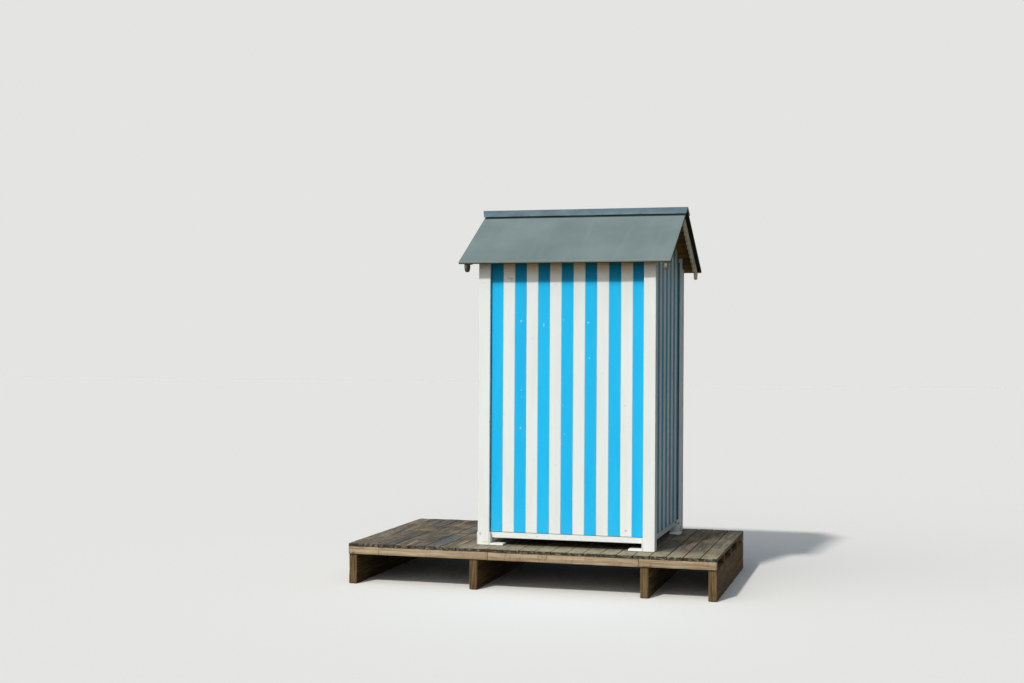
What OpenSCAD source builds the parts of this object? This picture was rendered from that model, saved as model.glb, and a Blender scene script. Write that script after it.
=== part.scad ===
// Striped beach hut on its own bay of raised boardwalk.
// X runs along the eaves, Y from the front eaves wall to the back one, Z is up.
// The origin is on the ground under the middle of the deck.
// All sizes are millimetres.

/* [Hut] */
// Length of the hut along its eaves, over the corner posts
hut_l = 1350; // [1080:10:2160]
// Depth of the hut from eaves wall to eaves wall, over the corner posts
hut_d = 1350; // [1080:10:2160]
// Height of the lower edge of the roof above the deck
eaves_h = 2110; // [2000:10:2500]
// Width of the square corner posts
post_w = 90; // [70:1:120]
// Distance from the face of the posts back to the face of the wall boards
board_inset = 30; // [20:1:40]
// Thickness of the wall boards
board_t = 20; // [12:1:28]
// Width that one wall board covers
board_cover = 90; // [60:1:150]
// Width of the groove between two wall boards
groove_w = 5; // [2:0.5:10]
// Depth of the groove between two wall boards
groove_d = 4; // [1:0.5:8]

/* [Base rails and floor] */
// Open gap between the deck and the base rails
rail_gap = 54; // [20:1:100]
// Height of the base rails
rail_h = 43; // [30:1:80]
// Depth of the base rails from outside to inside
rail_d = 50; // [44:1:60]
// Distance from the face of the posts back to the face of the rails
rail_inset = 34; // [20:1:40]
// Thickness of the floor boards
floor_t = 18; // [12:1:30]
// Width of the floor joists
joist_w = 45; // [30:1:70]
// Number of floor joists
joist_n = 2; // [1:1:4]
// Thickness of the block on the inner side of each post's foot
foot_t = 8; // [4:1:20]
// Length of the cleats by the feet of the posts
cleat_l = 100; // [60:1:160]
// Thickness of the cleats
cleat_t = 15; // [8:1:24]
// Distance from the back right post forward to the cleat that lies along the gable
side_cleat_in = 110; // [10:5:200]
// How far that cleat lies out past the face of the posts
side_cleat_out = 25; // [0:1:40]

/* [Roof] */
// Slope of the roof in degrees
roof_pitch = 29.3; // [20:0.1:40]
// How far the roof runs past the posts at the eaves
eaves_over = 111; // [80:1:200]
// How far the roof runs past the posts at the gables
gable_over = 126; // [100:1:200]
// Thickness of the roof boards
roof_board_t = 15; // [9:1:25]
// Thickness of the covering on the roof boards
cover_t = 3; // [2:0.5:8]
// Height of the wall plates
plate_h = 70; // [50:1:100]
// Width of the ridge beam
ridge_w = 45; // [30:1:70]
// Height of the ridge beam
ridge_h = 110; // [80:1:150]
// Width of each batten under the ridge cap, along the slope
ridge_batten_w = 90; // [50:1:100]
// Thickness of the battens under the ridge cap
ridge_batten_t = 8; // [4:1:16]
// Width of each wing of the ridge cap, along the slope
cap_w = 120; // [102:1:160]
// Thickness of the ridge cap
cap_t = 3; // [2:0.5:6]
// How far the corners of the ridge cap run past the roof at the left gable
cap_over_left = 7; // [0:1:40]
// How far the left end of the ridge cap runs out to a point along the ridge
cap_point = 35; // [1:1:60]
// How far the ridge cap runs past the roof at the right gable
cap_over_right = 5; // [0:1:40]

/* [Bargeboards] */
// Thickness of the bargeboards
barge_t = 20; // [12:1:30]
// Distance from the edge of the roof back to the face of the bargeboards at the left gable
barge_in_left = 40; // [10:1:60]
// Distance from the edge of the roof back to the face of the bargeboards at the right gable
barge_in_right = 30; // [10:1:60]
// Depth of the bargeboards down to the tips of the scallops
barge_d = 75; // [60:1:130]
// Depth of the scallops
scallop_h = 26; // [6:1:30]
// Width of one scallop, before it is fitted to the rake
scallop_w = 66; // [60:1:110]
// Width of the round drop at the foot of each bargeboard
drop_w = 94; // [60:1:110]
// Distance from the eaves back to the face of the drop
drop_in = 10; // [4:1:40]
// Height of the drop's straight side below the eaves
drop_side = 10; // [4:1:40]

/* [Door] */
// Width of the door leaf
door_w = 714; // [560:1:720]
// Height of the door leaf
door_h = 1800; // [1600:10:1860]
// Distance from the face of the posts back to the face of the leaf and its frame
leaf_inset = 12; // [4:1:20]
// Running gap round the door leaf
door_gap = 3; // [2:0.5:6]
// Width of the jambs and of the head over the door
jamb_w = 45; // [30:1:60]
// Width of the ledges across the inside of the leaf
ledge_w = 95; // [60:1:140]
// Thickness of the ledges and braces
ledge_t = 20; // [12:1:28]
// Level width of the ends of the braces between the ledges
brace_w = 110; // [60:1:160]
// Distance from the ends of the leaf to the middle of the outer ledges
ledge_in = 220; // [150:10:400]
// Length of the hinge straps on the leaf
strap_l = 320; // [150:10:450]
// Width of the hinge straps at the knuckle
strap_w = 40; // [25:1:60]
// Thickness of the hinge straps
strap_t = 4; // [2:0.5:6]
// Radius of the hinge knuckles
knuckle_r = 7; // [5:0.5:12]
// Height of the latch above the bottom of the leaf
latch_h = 950; // [700:10:1200]

/* [Deck] */
// Length of the deck bay
deck_l = 2792; // [2400:10:4200]
// Depth of the deck bay
deck_d = 1687; // [1500:10:2800]
// Deck beside the hut on the left
deck_left = 963; // [300:10:1200]
// Deck in front of the hut
deck_front = 197; // [120:1:320]
// Width of the deck boards, before they are fitted to the length
deck_board_w = 116; // [80:1:160]
// Gap between the deck boards
deck_gap = 5; // [3:0.5:12]
// Thickness of the deck boards
deck_board_t = 27; // [18:1:40]
// Height of the bearers under the deck boards
bearer_h = 58; // [40:1:90]
// Width of the bearers
bearer_w = 60; // [40:1:90]
// Number of bearers between the front one and the back one
bearer_n = 3; // [1:1:6]
// Height of the sleepers that carry the bearers
sleeper_h = 225; // [120:5:300]
// Width of the sleepers
sleeper_w = 63; // [45:1:100]
// Distance from the face of the front bearer back to the ends of the sleepers
sleeper_inset = 15; // [0:1:60]
// Distance from the left end of the hut to the middle of the second sleeper
sleeper_2_in = 22; // [0:1:90]
// Distance from the right end of the hut to the middle of the third sleeper
sleeper_3_in = 43; // [0:1:90]

/* [Hidden] */
$fn = 48;
// Overshoot of cutting tools past the faces that they cut
cut = 1;

white = [0.91, 0.9, 0.87];
blue = [0.12, 0.66, 0.9];
grey_green = [0.5, 0.56, 0.54];
blue_grey = [0.47, 0.55, 0.58];
weathered = [0.45, 0.42, 0.37];
pale_wood = [0.68, 0.63, 0.54];
dull_wood = [0.42, 0.35, 0.27];
brown_wood = [0.3, 0.21, 0.14];
steel = [0.55, 0.56, 0.57];

// Deck
deck_z = sleeper_h + bearer_h + deck_board_t;
deck_n = floor((deck_l + deck_gap) / (deck_board_w + deck_gap));
deck_pitch = (deck_l + deck_gap) / deck_n;
bearer_step = (deck_d - bearer_w) / (bearer_n + 1);
sleeper_y0 = -deck_d / 2 + sleeper_inset;
sleeper_l = deck_d - 2 * sleeper_inset;

// Hut corner nearest to the left end of the deck, with the hut's own axes from there
hut_x = -deck_l / 2 + deck_left;
hut_y = -deck_d / 2 + deck_front;

// Walls
wall_y0 = board_inset;
wall_y1 = board_inset + board_t;
rail_top = rail_gap + rail_h;
wall_l = hut_l - 2 * post_w;
wall_d = hut_d - 2 * post_w;
foot_x = post_w + foot_t;

// Roof
ridge_y = hut_d / 2;
rake_run = ridge_y + eaves_over;
rake_l = rake_run / cos(roof_pitch);
roof_l = hut_l + 2 * gable_over;
barge_inner_left = gable_over - barge_in_left - barge_t;
barge_inner_right = gable_over - barge_in_right - barge_t;
beam_l = hut_l + barge_inner_left + barge_inner_right;
scallop_from = (drop_in + drop_w) / cos(roof_pitch);
scallop_n = round((rake_l - scallop_from) / scallop_w);
scallop_pitch = (rake_l - scallop_from) / scallop_n;
scallop_r = (scallop_pitch * scallop_pitch / 4 + scallop_h * scallop_h) / (2 * scallop_h);

// Door
leaf_y0 = hut_d / 2 - door_w / 2;
leaf_y1 = hut_d / 2 + door_w / 2;
jamb_in_y0 = leaf_y0 - door_gap;
jamb_in_y1 = leaf_y1 + door_gap;
jamb_out_y0 = jamb_in_y0 - jamb_w;
jamb_out_y1 = jamb_in_y1 + jamb_w;
leaf_z0 = rail_top + door_gap;
head_z0 = leaf_z0 + door_h + door_gap;
head_z1 = head_z0 + jamb_w;
jamb_d = wall_y1 - leaf_inset;

// Height of the underside of the front slope above the deck, at a distance y from the hut's face
function under(y) = eaves_h + (y + eaves_over) * tan(roof_pitch);

// Puts a piece that is drawn in the hut's own axes in its place on the deck
module on_deck() {
    translate([hut_x, hut_y, deck_z]) children();
}

// Turns a piece of the front half over to the back half
module to_back() {
    translate([0, hut_d, 0]) mirror([0, 1, 0]) children();
}

// Turns a piece of the left half over to the right half
module to_right() {
    translate([hut_l, 0, 0]) mirror([1, 0, 0]) children();
}

// Extrudes an outline drawn in Y and Z along X
module along_x(x0, l) {
    translate([x0, 0, 0]) rotate([90, 0, 90]) linear_extrude(l) children();
}

// One V groove of height h at the origin, cut into a face that looks to -Y
module groove(h) {
    translate([0, 0, -cut]) linear_extrude(h + 2 * cut)
        polygon([[-groove_w / 2 - groove_w / 8, -groove_d / 4],
                 [groove_w / 2 + groove_w / 8, -groove_d / 4],
                 [0, groove_d]]);
}

// Grooves between boards over a width l, for a wall that starts at the origin and looks to -Y
module grooves(l, h) {
    n = max(1, round(l / board_cover));
    if (n > 1) {
        for (i = [1 : n - 1]) translate([i * l / n, 0, 0]) groove(h);
    }
}

// Grooves for a wall that looks to -X and runs along +Y from the origin
module side_grooves(l, h) {
    translate([0, l, 0]) rotate([0, 0, -90]) grooves(l, h);
}

module sleeper(x) {
    color(dull_wood)
        translate([x - sleeper_w / 2, sleeper_y0, 0]) cube([sleeper_w, sleeper_l, sleeper_h]);
}

module sleeper_1() {
    sleeper(-deck_l / 2 + sleeper_w / 2);
}

module sleeper_2() {
    sleeper(hut_x + sleeper_2_in);
}

module sleeper_3() {
    sleeper(hut_x + hut_l - sleeper_3_in);
}

module sleeper_4() {
    sleeper(deck_l / 2 - sleeper_w / 2);
}

module bearer(i) {
    translate([-deck_l / 2, -deck_d / 2 + i * bearer_step, sleeper_h])
        cube([deck_l, bearer_w, bearer_h]);
}

module bearer_front() {
    color(pale_wood) bearer(0);
}

module middle_bearers() {
    color(dull_wood) for (i = [1 : bearer_n]) bearer(i);
}

module bearer_back() {
    color(pale_wood) bearer(bearer_n + 1);
}

module deck_boards() {
    color(weathered)
        for (i = [0 : deck_n - 1])
            translate([-deck_l / 2 + i * deck_pitch, -deck_d / 2, deck_z - deck_board_t])
                cube([deck_pitch - deck_gap, deck_d, deck_board_t]);
}

// Post at the front left corner, cut to the roof slope and notched for the wall plate,
// with a block on its foot up to the top of the rails
module post() {
    along_x(0, post_w)
        polygon([[0, 0], [post_w, 0], [post_w, under(wall_y1) - plate_h],
                 [wall_y1, under(wall_y1) - plate_h], [wall_y1, under(wall_y1)], [0, under(0)]]);
    cube([foot_x, post_w, rail_top]);
}

module post_front_left() {
    color(white) on_deck() post();
}

module post_front_right() {
    color(white) on_deck() to_right() post();
}

module post_back_left() {
    color(white) on_deck() to_back() post();
}

module post_back_right() {
    color(white) on_deck() to_back() to_right() post();
}

module cleat() {
    translate([foot_x, 0, 0]) cube([cleat_l, post_w, cleat_t]);
}

// The fourth cleat lies along the right gable
module side_cleat() {
    translate([hut_l - post_w + side_cleat_out, hut_d - post_w - side_cleat_in - cleat_l, 0])
        cube([post_w, cleat_l, cleat_t]);
}

module foot_cleats() {
    color(white) on_deck() {
        cleat();
        to_right() cleat();
        to_back() cleat();
        side_cleat();
    }
}

module long_rail() {
    translate([foot_x, rail_inset, rail_gap]) cube([hut_l - 2 * foot_x, rail_d, rail_h]);
}

module side_rail() {
    translate([rail_inset, post_w, rail_gap]) cube([rail_d, wall_d, rail_h]);
}

module base_rail_front() {
    color(white) on_deck() long_rail();
}

module base_rail_back() {
    color(white) on_deck() to_back() long_rail();
}

module base_rail_left() {
    color(white) on_deck() side_rail();
}

module base_rail_right() {
    color(white) on_deck() to_right() side_rail();
}

module floor_joists() {
    joist_y0 = rail_inset + rail_d;
    color(brown_wood) on_deck()
        for (i = [1 : joist_n])
            translate([hut_l * i / (joist_n + 1) - joist_w / 2, joist_y0, rail_gap])
                cube([joist_w, hut_d - 2 * joist_y0, rail_h]);
}

module floor_boards() {
    color(brown_wood) on_deck() difference() {
        translate([wall_y1, wall_y1, rail_top])
            cube([hut_l - 2 * wall_y1, hut_d - 2 * wall_y1, floor_t]);
        for (x = [0, hut_l - post_w], y = [0, hut_d - post_w])
            translate([x, y, 0]) cube([post_w, post_w, eaves_h]);
    }
}

// Eaves wall between the front posts, cut to the roof slope
module eaves_wall() {
    difference() {
        along_x(post_w, wall_l)
            polygon([[wall_y0, rail_top], [wall_y1, rail_top],
                     [wall_y1, under(wall_y1)], [wall_y0, under(wall_y0)]]);
        translate([post_w, wall_y0, rail_top]) grooves(wall_l, under(0));
    }
}

module front_wall() {
    color(blue) on_deck() eaves_wall();
}

module back_wall() {
    color(blue) on_deck() to_back() eaves_wall();
}

// Outline of a gable down to the deck, as wide as the hut
module gable_outline() {
    polygon([[0, 0], [hut_d, 0], [hut_d, under(0)], [ridge_y, under(ridge_y)], [0, under(0)]]);
}

// Part of the left gable wall from y0 to y1 and above z0, cut to the roof and round the ridge beam
module gable_part(y0, y1, z0) {
    difference() {
        along_x(wall_y0, board_t) intersection() {
            gable_outline();
            translate([y0, z0]) square([y1 - y0, under(ridge_y)]);
        }
        translate([wall_y0, y0, z0]) side_grooves(y1 - y0, under(ridge_y));
        ridge_bar();
    }
}

module right_gable_wall() {
    color(blue) on_deck() to_right() gable_part(post_w, hut_d - post_w, rail_top);
}

module left_wall_beside_latch() {
    color(blue) on_deck() gable_part(post_w, jamb_out_y0, rail_top);
}

module left_wall_beside_hinges() {
    color(blue) on_deck() gable_part(jamb_out_y1, hut_d - post_w, rail_top);
}

module left_wall_over_door() {
    color(blue) on_deck() gable_part(jamb_out_y0, jamb_out_y1, head_z1);
}

module jamb(y) {
    translate([leaf_inset, y, rail_top]) cube([jamb_d, jamb_w, head_z0 - rail_top]);
}

module door_jamb_latch_side() {
    color(white) on_deck() jamb(jamb_out_y0);
}

module door_jamb_hinge_side() {
    color(white) on_deck() jamb(jamb_in_y1);
}

module door_head() {
    color(white) on_deck()
        translate([leaf_inset, jamb_out_y0, head_z0])
            cube([jamb_d, jamb_out_y1 - jamb_out_y0, jamb_w]);
}

// Brace in the bay between two ledges, from z0 at the hinge side up to z1 at the latch side
module brace(z0, z1) {
    y0 = leaf_y0 + jamb_w;
    y1 = leaf_y1 - jamb_w;
    along_x(leaf_inset + board_t, ledge_t)
        polygon([[y1 - brace_w, z0], [y1, z0], [y0 + brace_w, z1], [y0, z1]]);
}

// Boarded leaf with three ledges across the inside and two braces between them
module door_leaf() {
    ledge_x = leaf_inset + board_t;
    ledge_z = [ledge_in, door_h / 2, door_h - ledge_in];
    color(blue) on_deck() union() {
        difference() {
            translate([leaf_inset, leaf_y0, leaf_z0]) cube([board_t, door_w, door_h]);
            translate([leaf_inset, leaf_y0, leaf_z0]) side_grooves(door_w, door_h);
        }
        for (z = ledge_z)
            translate([ledge_x, leaf_y0 + jamb_w, leaf_z0 + z - ledge_w / 2])
                cube([ledge_t, door_w - 2 * jamb_w, ledge_w]);
        for (i = [0, 1])
            brace(leaf_z0 + ledge_z[i] + ledge_w / 2, leaf_z0 + ledge_z[i + 1] - ledge_w / 2);
    }
}

// One strap hinge: a tapered strap on the leaf, a knuckle over the gap and a plate on the jamb
module hinge(z) {
    knuckle_y = leaf_y1 + door_gap / 2;
    plate_w = jamb_w - 2 * strap_t;
    strap_end = strap_w / 4;
    translate([leaf_inset, knuckle_y, z]) {
        translate([-strap_t, 0, -strap_w / 2]) cube([strap_t, plate_w, strap_w]);
        rotate([0, -90, 0]) linear_extrude(strap_t)
            polygon([[-strap_w / 2, 0], [-strap_end, -strap_l],
                     [strap_end, -strap_l], [strap_w / 2, 0]]);
        translate([-strap_t, 0, -strap_w / 2]) cylinder(h = strap_w, r = knuckle_r - strap_t / 2);
    }
}

module door_hinges() {
    color(steel) on_deck() {
        hinge(leaf_z0 + ledge_in);
        hinge(leaf_z0 + door_h - ledge_in);
    }
}

// Hasp over a staple: one plate on the leaf, one on the jamb
module door_latch() {
    plate_l = jamb_w - 3 * strap_t;
    latch_z = leaf_z0 + latch_h;
    color(steel) on_deck() {
        translate([leaf_inset - strap_t, leaf_y0 + strap_t, latch_z - strap_w / 2])
            cube([strap_t, 2 * plate_l, strap_w]);
        translate([leaf_inset - strap_t, jamb_in_y0 - plate_l - strap_t, latch_z - strap_w / 2])
            cube([strap_t, plate_l, strap_w]);
    }
}

// Front wall plate with its top bevelled to the slope
module plate() {
    z0 = under(wall_y1) - plate_h;
    along_x(-barge_inner_left, beam_l)
        polygon([[wall_y1, z0], [post_w, z0], [post_w, under(post_w)], [wall_y1, under(wall_y1)]]);
}

module wall_plate_front() {
    color(brown_wood) on_deck() plate();
}

module wall_plate_back() {
    color(brown_wood) on_deck() to_back() plate();
}

// Beam with its top bevelled to both slopes
module ridge_bar() {
    y0 = ridge_y - ridge_w / 2;
    y1 = ridge_y + ridge_w / 2;
    z0 = under(ridge_y) - ridge_h;
    along_x(-barge_inner_left, beam_l)
        polygon([[y0, z0], [y1, z0], [y1, under(y0)], [ridge_y, under(ridge_y)], [y0, under(y0)]]);
}

module ridge_beam() {
    color(brown_wood) on_deck() ridge_bar();
}

// Layer of the front slope of thickness t that lies d above the underside, from the eaves to the ridge
module slope_layer(d, t) {
    c = cos(roof_pitch);
    s = sin(roof_pitch);
    along_x(-gable_over, roof_l)
        polygon([[-eaves_over - d * s, eaves_h + d * c],
                 [ridge_y, under(ridge_y) + d / c],
                 [ridge_y, under(ridge_y) + (d + t) / c],
                 [-eaves_over - (d + t) * s, eaves_h + (d + t) * c]]);
}

module roof_boards_front() {
    color(pale_wood) on_deck() slope_layer(0, roof_board_t);
}

module roof_boards_back() {
    color(pale_wood) on_deck() to_back() slope_layer(0, roof_board_t);
}

module roof_covering_front() {
    color(grey_green) on_deck() slope_layer(roof_board_t, cover_t);
}

module roof_covering_back() {
    color(grey_green) on_deck() to_back() slope_layer(roof_board_t, cover_t);
}

// Foot of a wing of width w on the front slope, d above the underside
function wing_foot(d, w) = [ridge_y - w * cos(roof_pitch) - d * sin(roof_pitch),
                            under(ridge_y) - w * sin(roof_pitch) + d * cos(roof_pitch)];

// Point of the ridge line, d above the underside of the slopes
function ridge_point(d) = [ridge_y, under(ridge_y) + d / cos(roof_pitch)];

// The same point on the back slope
function flip(p) = [hut_d - p[0], p[1]];

module ridge_batten() {
    d = roof_board_t + cover_t;
    t = ridge_batten_t;
    along_x(-gable_over, roof_l)
        polygon([wing_foot(d, ridge_batten_w), ridge_point(d),
                 ridge_point(d + t), wing_foot(d + t, ridge_batten_w)]);
}

module ridge_battens() {
    color(brown_wood) on_deck() {
        ridge_batten();
        to_back() ridge_batten();
    }
}

// Folded cap over the battens, seen from above pointed at its left end
module ridge_cap() {
    d = roof_board_t + cover_t + ridge_batten_t;
    low = wing_foot(d, cap_w);
    high = wing_foot(d + cap_t, cap_w);
    x0 = -gable_over - cap_over_left;
    x1 = hut_l + gable_over + cap_over_right;
    y0 = high[0] - cut;
    color(blue_grey) on_deck() intersection() {
        along_x(x0 - cap_point, x1 - x0 + cap_point)
            polygon([low, ridge_point(d), flip(low), flip(high), ridge_point(d + cap_t), high]);
        linear_extrude(2 * under(ridge_y))
            polygon([[x0 - cap_point, ridge_y], [x0, y0], [x1 + cut, y0],
                     [x1 + cut, hut_d - y0], [x0, hut_d - y0]]);
    }
}

// Scalloped board under the front slope with a round drop at its foot
module barge_outline() {
    drop_y = -eaves_over + drop_in;
    drop_z = eaves_h - drop_side;
    intersection() {
        translate([-eaves_over, eaves_h]) rotate(roof_pitch) {
            translate([scallop_from - drop_w / 2, scallop_h - barge_d])
                square([rake_l, barge_d - scallop_h]);
            for (i = [0 : scallop_n - 1])
                translate([scallop_from + (i + 0.5) * scallop_pitch, scallop_r - barge_d])
                    intersection() {
                        circle(r = scallop_r);
                        translate([-scallop_pitch / 2, -scallop_r])
                            square([scallop_pitch, scallop_h + cut]);
                    }
        }
        translate([drop_y, 0]) square([ridge_y - drop_y, under(ridge_y)]);
    }
    polygon([[drop_y, drop_z], [drop_y + drop_w, drop_z],
             [drop_y + drop_w, under(drop_y + drop_w)], [drop_y, under(drop_y)]]);
    translate([drop_y + drop_w / 2, drop_z]) circle(d = drop_w);
}

// Bargeboard on the front slope of the left gable, its face at a distance from the roof's edge
module bargeboard(inset) {
    along_x(-gable_over + inset, barge_t) barge_outline();
}

module bargeboard_left_front() {
    color(pale_wood) on_deck() bargeboard(barge_in_left);
}

module bargeboard_left_back() {
    color(pale_wood) on_deck() to_back() bargeboard(barge_in_left);
}

module bargeboard_right_front() {
    color(pale_wood) on_deck() to_right() bargeboard(barge_in_right);
}

module bargeboard_right_back() {
    color(pale_wood) on_deck() to_back() to_right() bargeboard(barge_in_right);
}

sleeper_1();
sleeper_2();
sleeper_3();
sleeper_4();
bearer_front();
middle_bearers();
bearer_back();
deck_boards();
post_front_left();
post_front_right();
post_back_left();
post_back_right();
foot_cleats();
base_rail_front();
base_rail_back();
base_rail_left();
base_rail_right();
floor_joists();
floor_boards();
front_wall();
back_wall();
right_gable_wall();
left_wall_beside_latch();
left_wall_beside_hinges();
left_wall_over_door();
door_jamb_latch_side();
door_jamb_hinge_side();
door_head();
door_leaf();
door_hinges();
door_latch();
wall_plate_front();
wall_plate_back();
ridge_beam();
roof_boards_front();
roof_boards_back();
roof_covering_front();
roof_covering_back();
ridge_battens();
ridge_cap();
bargeboard_left_front();
bargeboard_left_back();
bargeboard_right_front();
bargeboard_right_back();
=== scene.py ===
# %% [markdown]
# # A striped beach hut on its bay of deck
#
# The hut is a light changing cabin: painted boards between four posts, a boarded roof under a thin sheet,
# scalloped bargeboards, and a bay of sun-bleached boardwalk that carries it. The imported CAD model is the
# frame and says where every piece is. This lesson dresses each piece the way a joiner makes it, one timber
# at a time, because the worn edge of each board is what tells painted wood from a printed stripe.

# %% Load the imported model
import math
import bpy
import numpy as np
from mathutils import Matrix, Vector


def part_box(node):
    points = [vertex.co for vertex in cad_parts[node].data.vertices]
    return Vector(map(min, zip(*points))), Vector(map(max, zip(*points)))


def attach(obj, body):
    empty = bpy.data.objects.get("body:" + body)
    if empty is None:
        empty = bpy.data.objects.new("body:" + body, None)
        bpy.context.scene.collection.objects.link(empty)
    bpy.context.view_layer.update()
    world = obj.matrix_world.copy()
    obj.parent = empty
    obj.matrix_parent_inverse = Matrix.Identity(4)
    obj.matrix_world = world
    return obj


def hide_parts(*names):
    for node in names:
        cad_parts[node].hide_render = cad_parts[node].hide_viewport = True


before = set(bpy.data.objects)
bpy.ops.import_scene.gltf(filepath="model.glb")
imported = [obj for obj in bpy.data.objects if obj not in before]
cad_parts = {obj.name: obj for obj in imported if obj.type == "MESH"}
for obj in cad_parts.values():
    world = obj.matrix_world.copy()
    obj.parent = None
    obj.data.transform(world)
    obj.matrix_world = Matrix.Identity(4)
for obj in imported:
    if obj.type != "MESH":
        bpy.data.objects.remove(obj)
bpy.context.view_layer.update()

# %% [markdown]
# ## The hut's own axes
#
# A carpenter measures from a corner of the hut, so the lesson does too: the origin is the foot of the front
# left post on the deck, X runs along the eaves, Y goes back through the hut, and Z is up. All sizes are in
# metres. They come from the boxes of the CAD nodes wherever a box can give them.

# %% Sizes from the frame
corner = np.array(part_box("post_front_left")[0])
deck_z = float(corner[2])


def box(node):
    """Lowest and highest corner of a CAD node in the hut's own axes."""
    low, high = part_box(node)
    return np.array(low) - corner, np.array(high) - corner


hut_l = box("post_front_right")[1][0]
hut_d = box("post_back_left")[1][1]
post_hi = box("post_front_left")[1]
post_w = post_hi[1]
foot_t = post_hi[0] - post_w
wall_lo, wall_hi = box("front_wall")
wall_face, wall_back, rail_top = wall_lo[1], wall_hi[1], wall_lo[2]
door_face = box("door_leaf")[0][0]
board_count = 13
board_t = wall_back - wall_face
board_w = (hut_l - 2 * post_w) / board_count

pitch = math.radians(29.3)
slope_c, slope_s = math.cos(pitch), math.sin(pitch)
roof_board_t, cover_t = 0.015, 0.003
roof_lo = box("roof_boards_front")[0]
gable_over, eaves_h = -roof_lo[0], roof_lo[2]
eaves_over = -roof_lo[1] - roof_board_t * slope_s
ridge_y = hut_d / 2
rake_l = (ridge_y + eaves_over) / slope_c


def under(y):
    """Underside of the roof: eaves height + (distance in from the nearer eaves) x tangent of the pitch."""
    return eaves_h + (np.minimum(y, hut_d - y) + eaves_over) * math.tan(pitch)


print(f"hut {hut_l:.3f} x {hut_d:.3f} m, board {board_w:.3f} m, ridge {under(ridge_y):.3f} m above the deck")

# %% [markdown]
# ## The camera
#
# The photograph was taken from the height of a standing person, a little to the right of the hut. The
# camera comes first, so that each piece can be judged from there as it is made. Its axes are worked out from
# the yaw, pitch and roll, which keeps the small roll of a hand-held picture.

# %% Camera at the photograph's viewing angle
camera_place = (2.726, -11.1705, 1.802)
camera_yaw, camera_pitch, camera_roll = math.radians(15.395), math.radians(0.218), math.radians(0.321)

ahead = Vector((-math.sin(camera_yaw) * math.cos(camera_pitch),
                math.cos(camera_yaw) * math.cos(camera_pitch), math.sin(camera_pitch)))
level = Vector((math.cos(camera_yaw), math.sin(camera_yaw), 0))
right = level * math.cos(camera_roll) + level.cross(ahead) * math.sin(camera_roll)


def in_scene(name, data):
    """A new object made of a camera, a lamp or a mesh, and linked to the scene."""
    made = bpy.data.objects.new(name, data)
    bpy.context.scene.collection.objects.link(made)
    return made


camera = in_scene("camera", bpy.data.cameras.new("camera"))
camera.data.lens = 51.17
camera.data.sensor_width = 36
camera_axes = Matrix((right, right.cross(ahead), -ahead)).transposed()
camera.matrix_world = Matrix.Translation(camera_place) @ camera_axes.to_4x4()
bpy.context.scene.camera = camera
print("camera", camera_place, "lens", camera.data.lens)

# %% [markdown]
# ## Colours and nodes
#
# Colours are picked as sRGB hex, as a paint chart gives them, and one function turns them to the linear
# values that shaders mix. One more small function adds any node with its settings and links. The short
# functions after it each name one step of a shader, and find the node tree by the socket that they are
# given, so that a material reads as a list of what lies on the wood.

# %% One function for colours, one for nodes
def linear(code):
    """Linear colour of an sRGB hex: c / 12.92 up to 0.04045, else ((c + 0.055) / 1.055) to the power 2.4."""
    c = np.array([int(code[i:i + 2], 16) for i in (1, 3, 5)]) / 255
    c = np.where(c <= 0.04045, c / 12.92, ((c + 0.055) / 1.055) ** 2.4)
    return (*c.tolist(), 1.0)


def node(tree, kind, links=None, stops=(), **settings):
    """Adds a node. links gives its inputs a value or another node's output, stops fills a colour ramp."""
    made = tree.nodes.new(kind)
    for key, value in settings.items():
        setattr(made, key, value)
    for key, value in (links or {}).items():
        if isinstance(value, bpy.types.NodeSocket):
            tree.links.new(value, made.inputs[key])
        else:
            made.inputs[key].default_value = value
    for i, (place, code) in enumerate(stops):
        stop = made.color_ramp.elements[i] if i < 2 else made.color_ramp.elements.new(place)
        stop.position = place
        stop.color = linear(code)
    return made


print("white paint in linear light", [round(v, 3) for v in linear("#EBEEEA")])


# %% Steps that every shader is made of
def number(operation, *inputs, kind="ShaderNodeMath", output=0):
    """Result of a Math node, whose first input is a socket."""
    return node(inputs[0].id_data, kind, dict(enumerate(inputs)), operation=operation).outputs[output]


def vector(operation, *inputs, output=0):
    """Result of a Vector Math node; its second output is the one for lengths and dot products."""
    return number(operation, *inputs, kind="ShaderNodeVectorMath", output=output)


def component(place, i):
    """X, Y or Z of a vector."""
    return node(place.id_data, "ShaderNodeSeparateXYZ", {0: place}).outputs[i]


def times(a, b):
    """Product of two values."""
    return number("MULTIPLY", a, b)


def ranged(value, low, high, least, most, **how):
    """Takes the range from low to high to the range from least to most."""
    links = {0: value, 1: low, 2: high, 3: least, 4: most}
    return node(value.id_data, "ShaderNodeMapRange", links, **how).outputs[0]


def mask(value, low, high):
    """0 below low, 1 above high, smooth between; with low above high it falls instead of rising."""
    return ranged(value, low, high, 0, 1, interpolation_type="SMOOTHSTEP")


def over(below, above, factor, amount=None):
    """Lays the colour above over the colour below where the factor says, as strongly as the amount says."""
    factor = factor if amount is None else times(factor, amount)
    below, above = (linear(c) if isinstance(c, str) else c for c in (below, above))
    return node(factor.id_data, "ShaderNodeMix", {0: factor, 6: below, 7: above}, data_type="RGBA").outputs[2]


def ramp(value, *stops):
    """Colours picked by a value from stops, each of them a place and a colour."""
    return node(value.id_data, "ShaderNodeValToRGB", {0: value}, stops).outputs[0]


def shaded(colour, tone, darkest, lightest):
    """Scales a colour's value from darkest to lightest with the timber's tone."""
    links = {"Value": ranged(tone, 0, 1, darkest, lightest), "Color": colour}
    return node(tone.id_data, "ShaderNodeHueSaturation", links).outputs[0]


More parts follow.
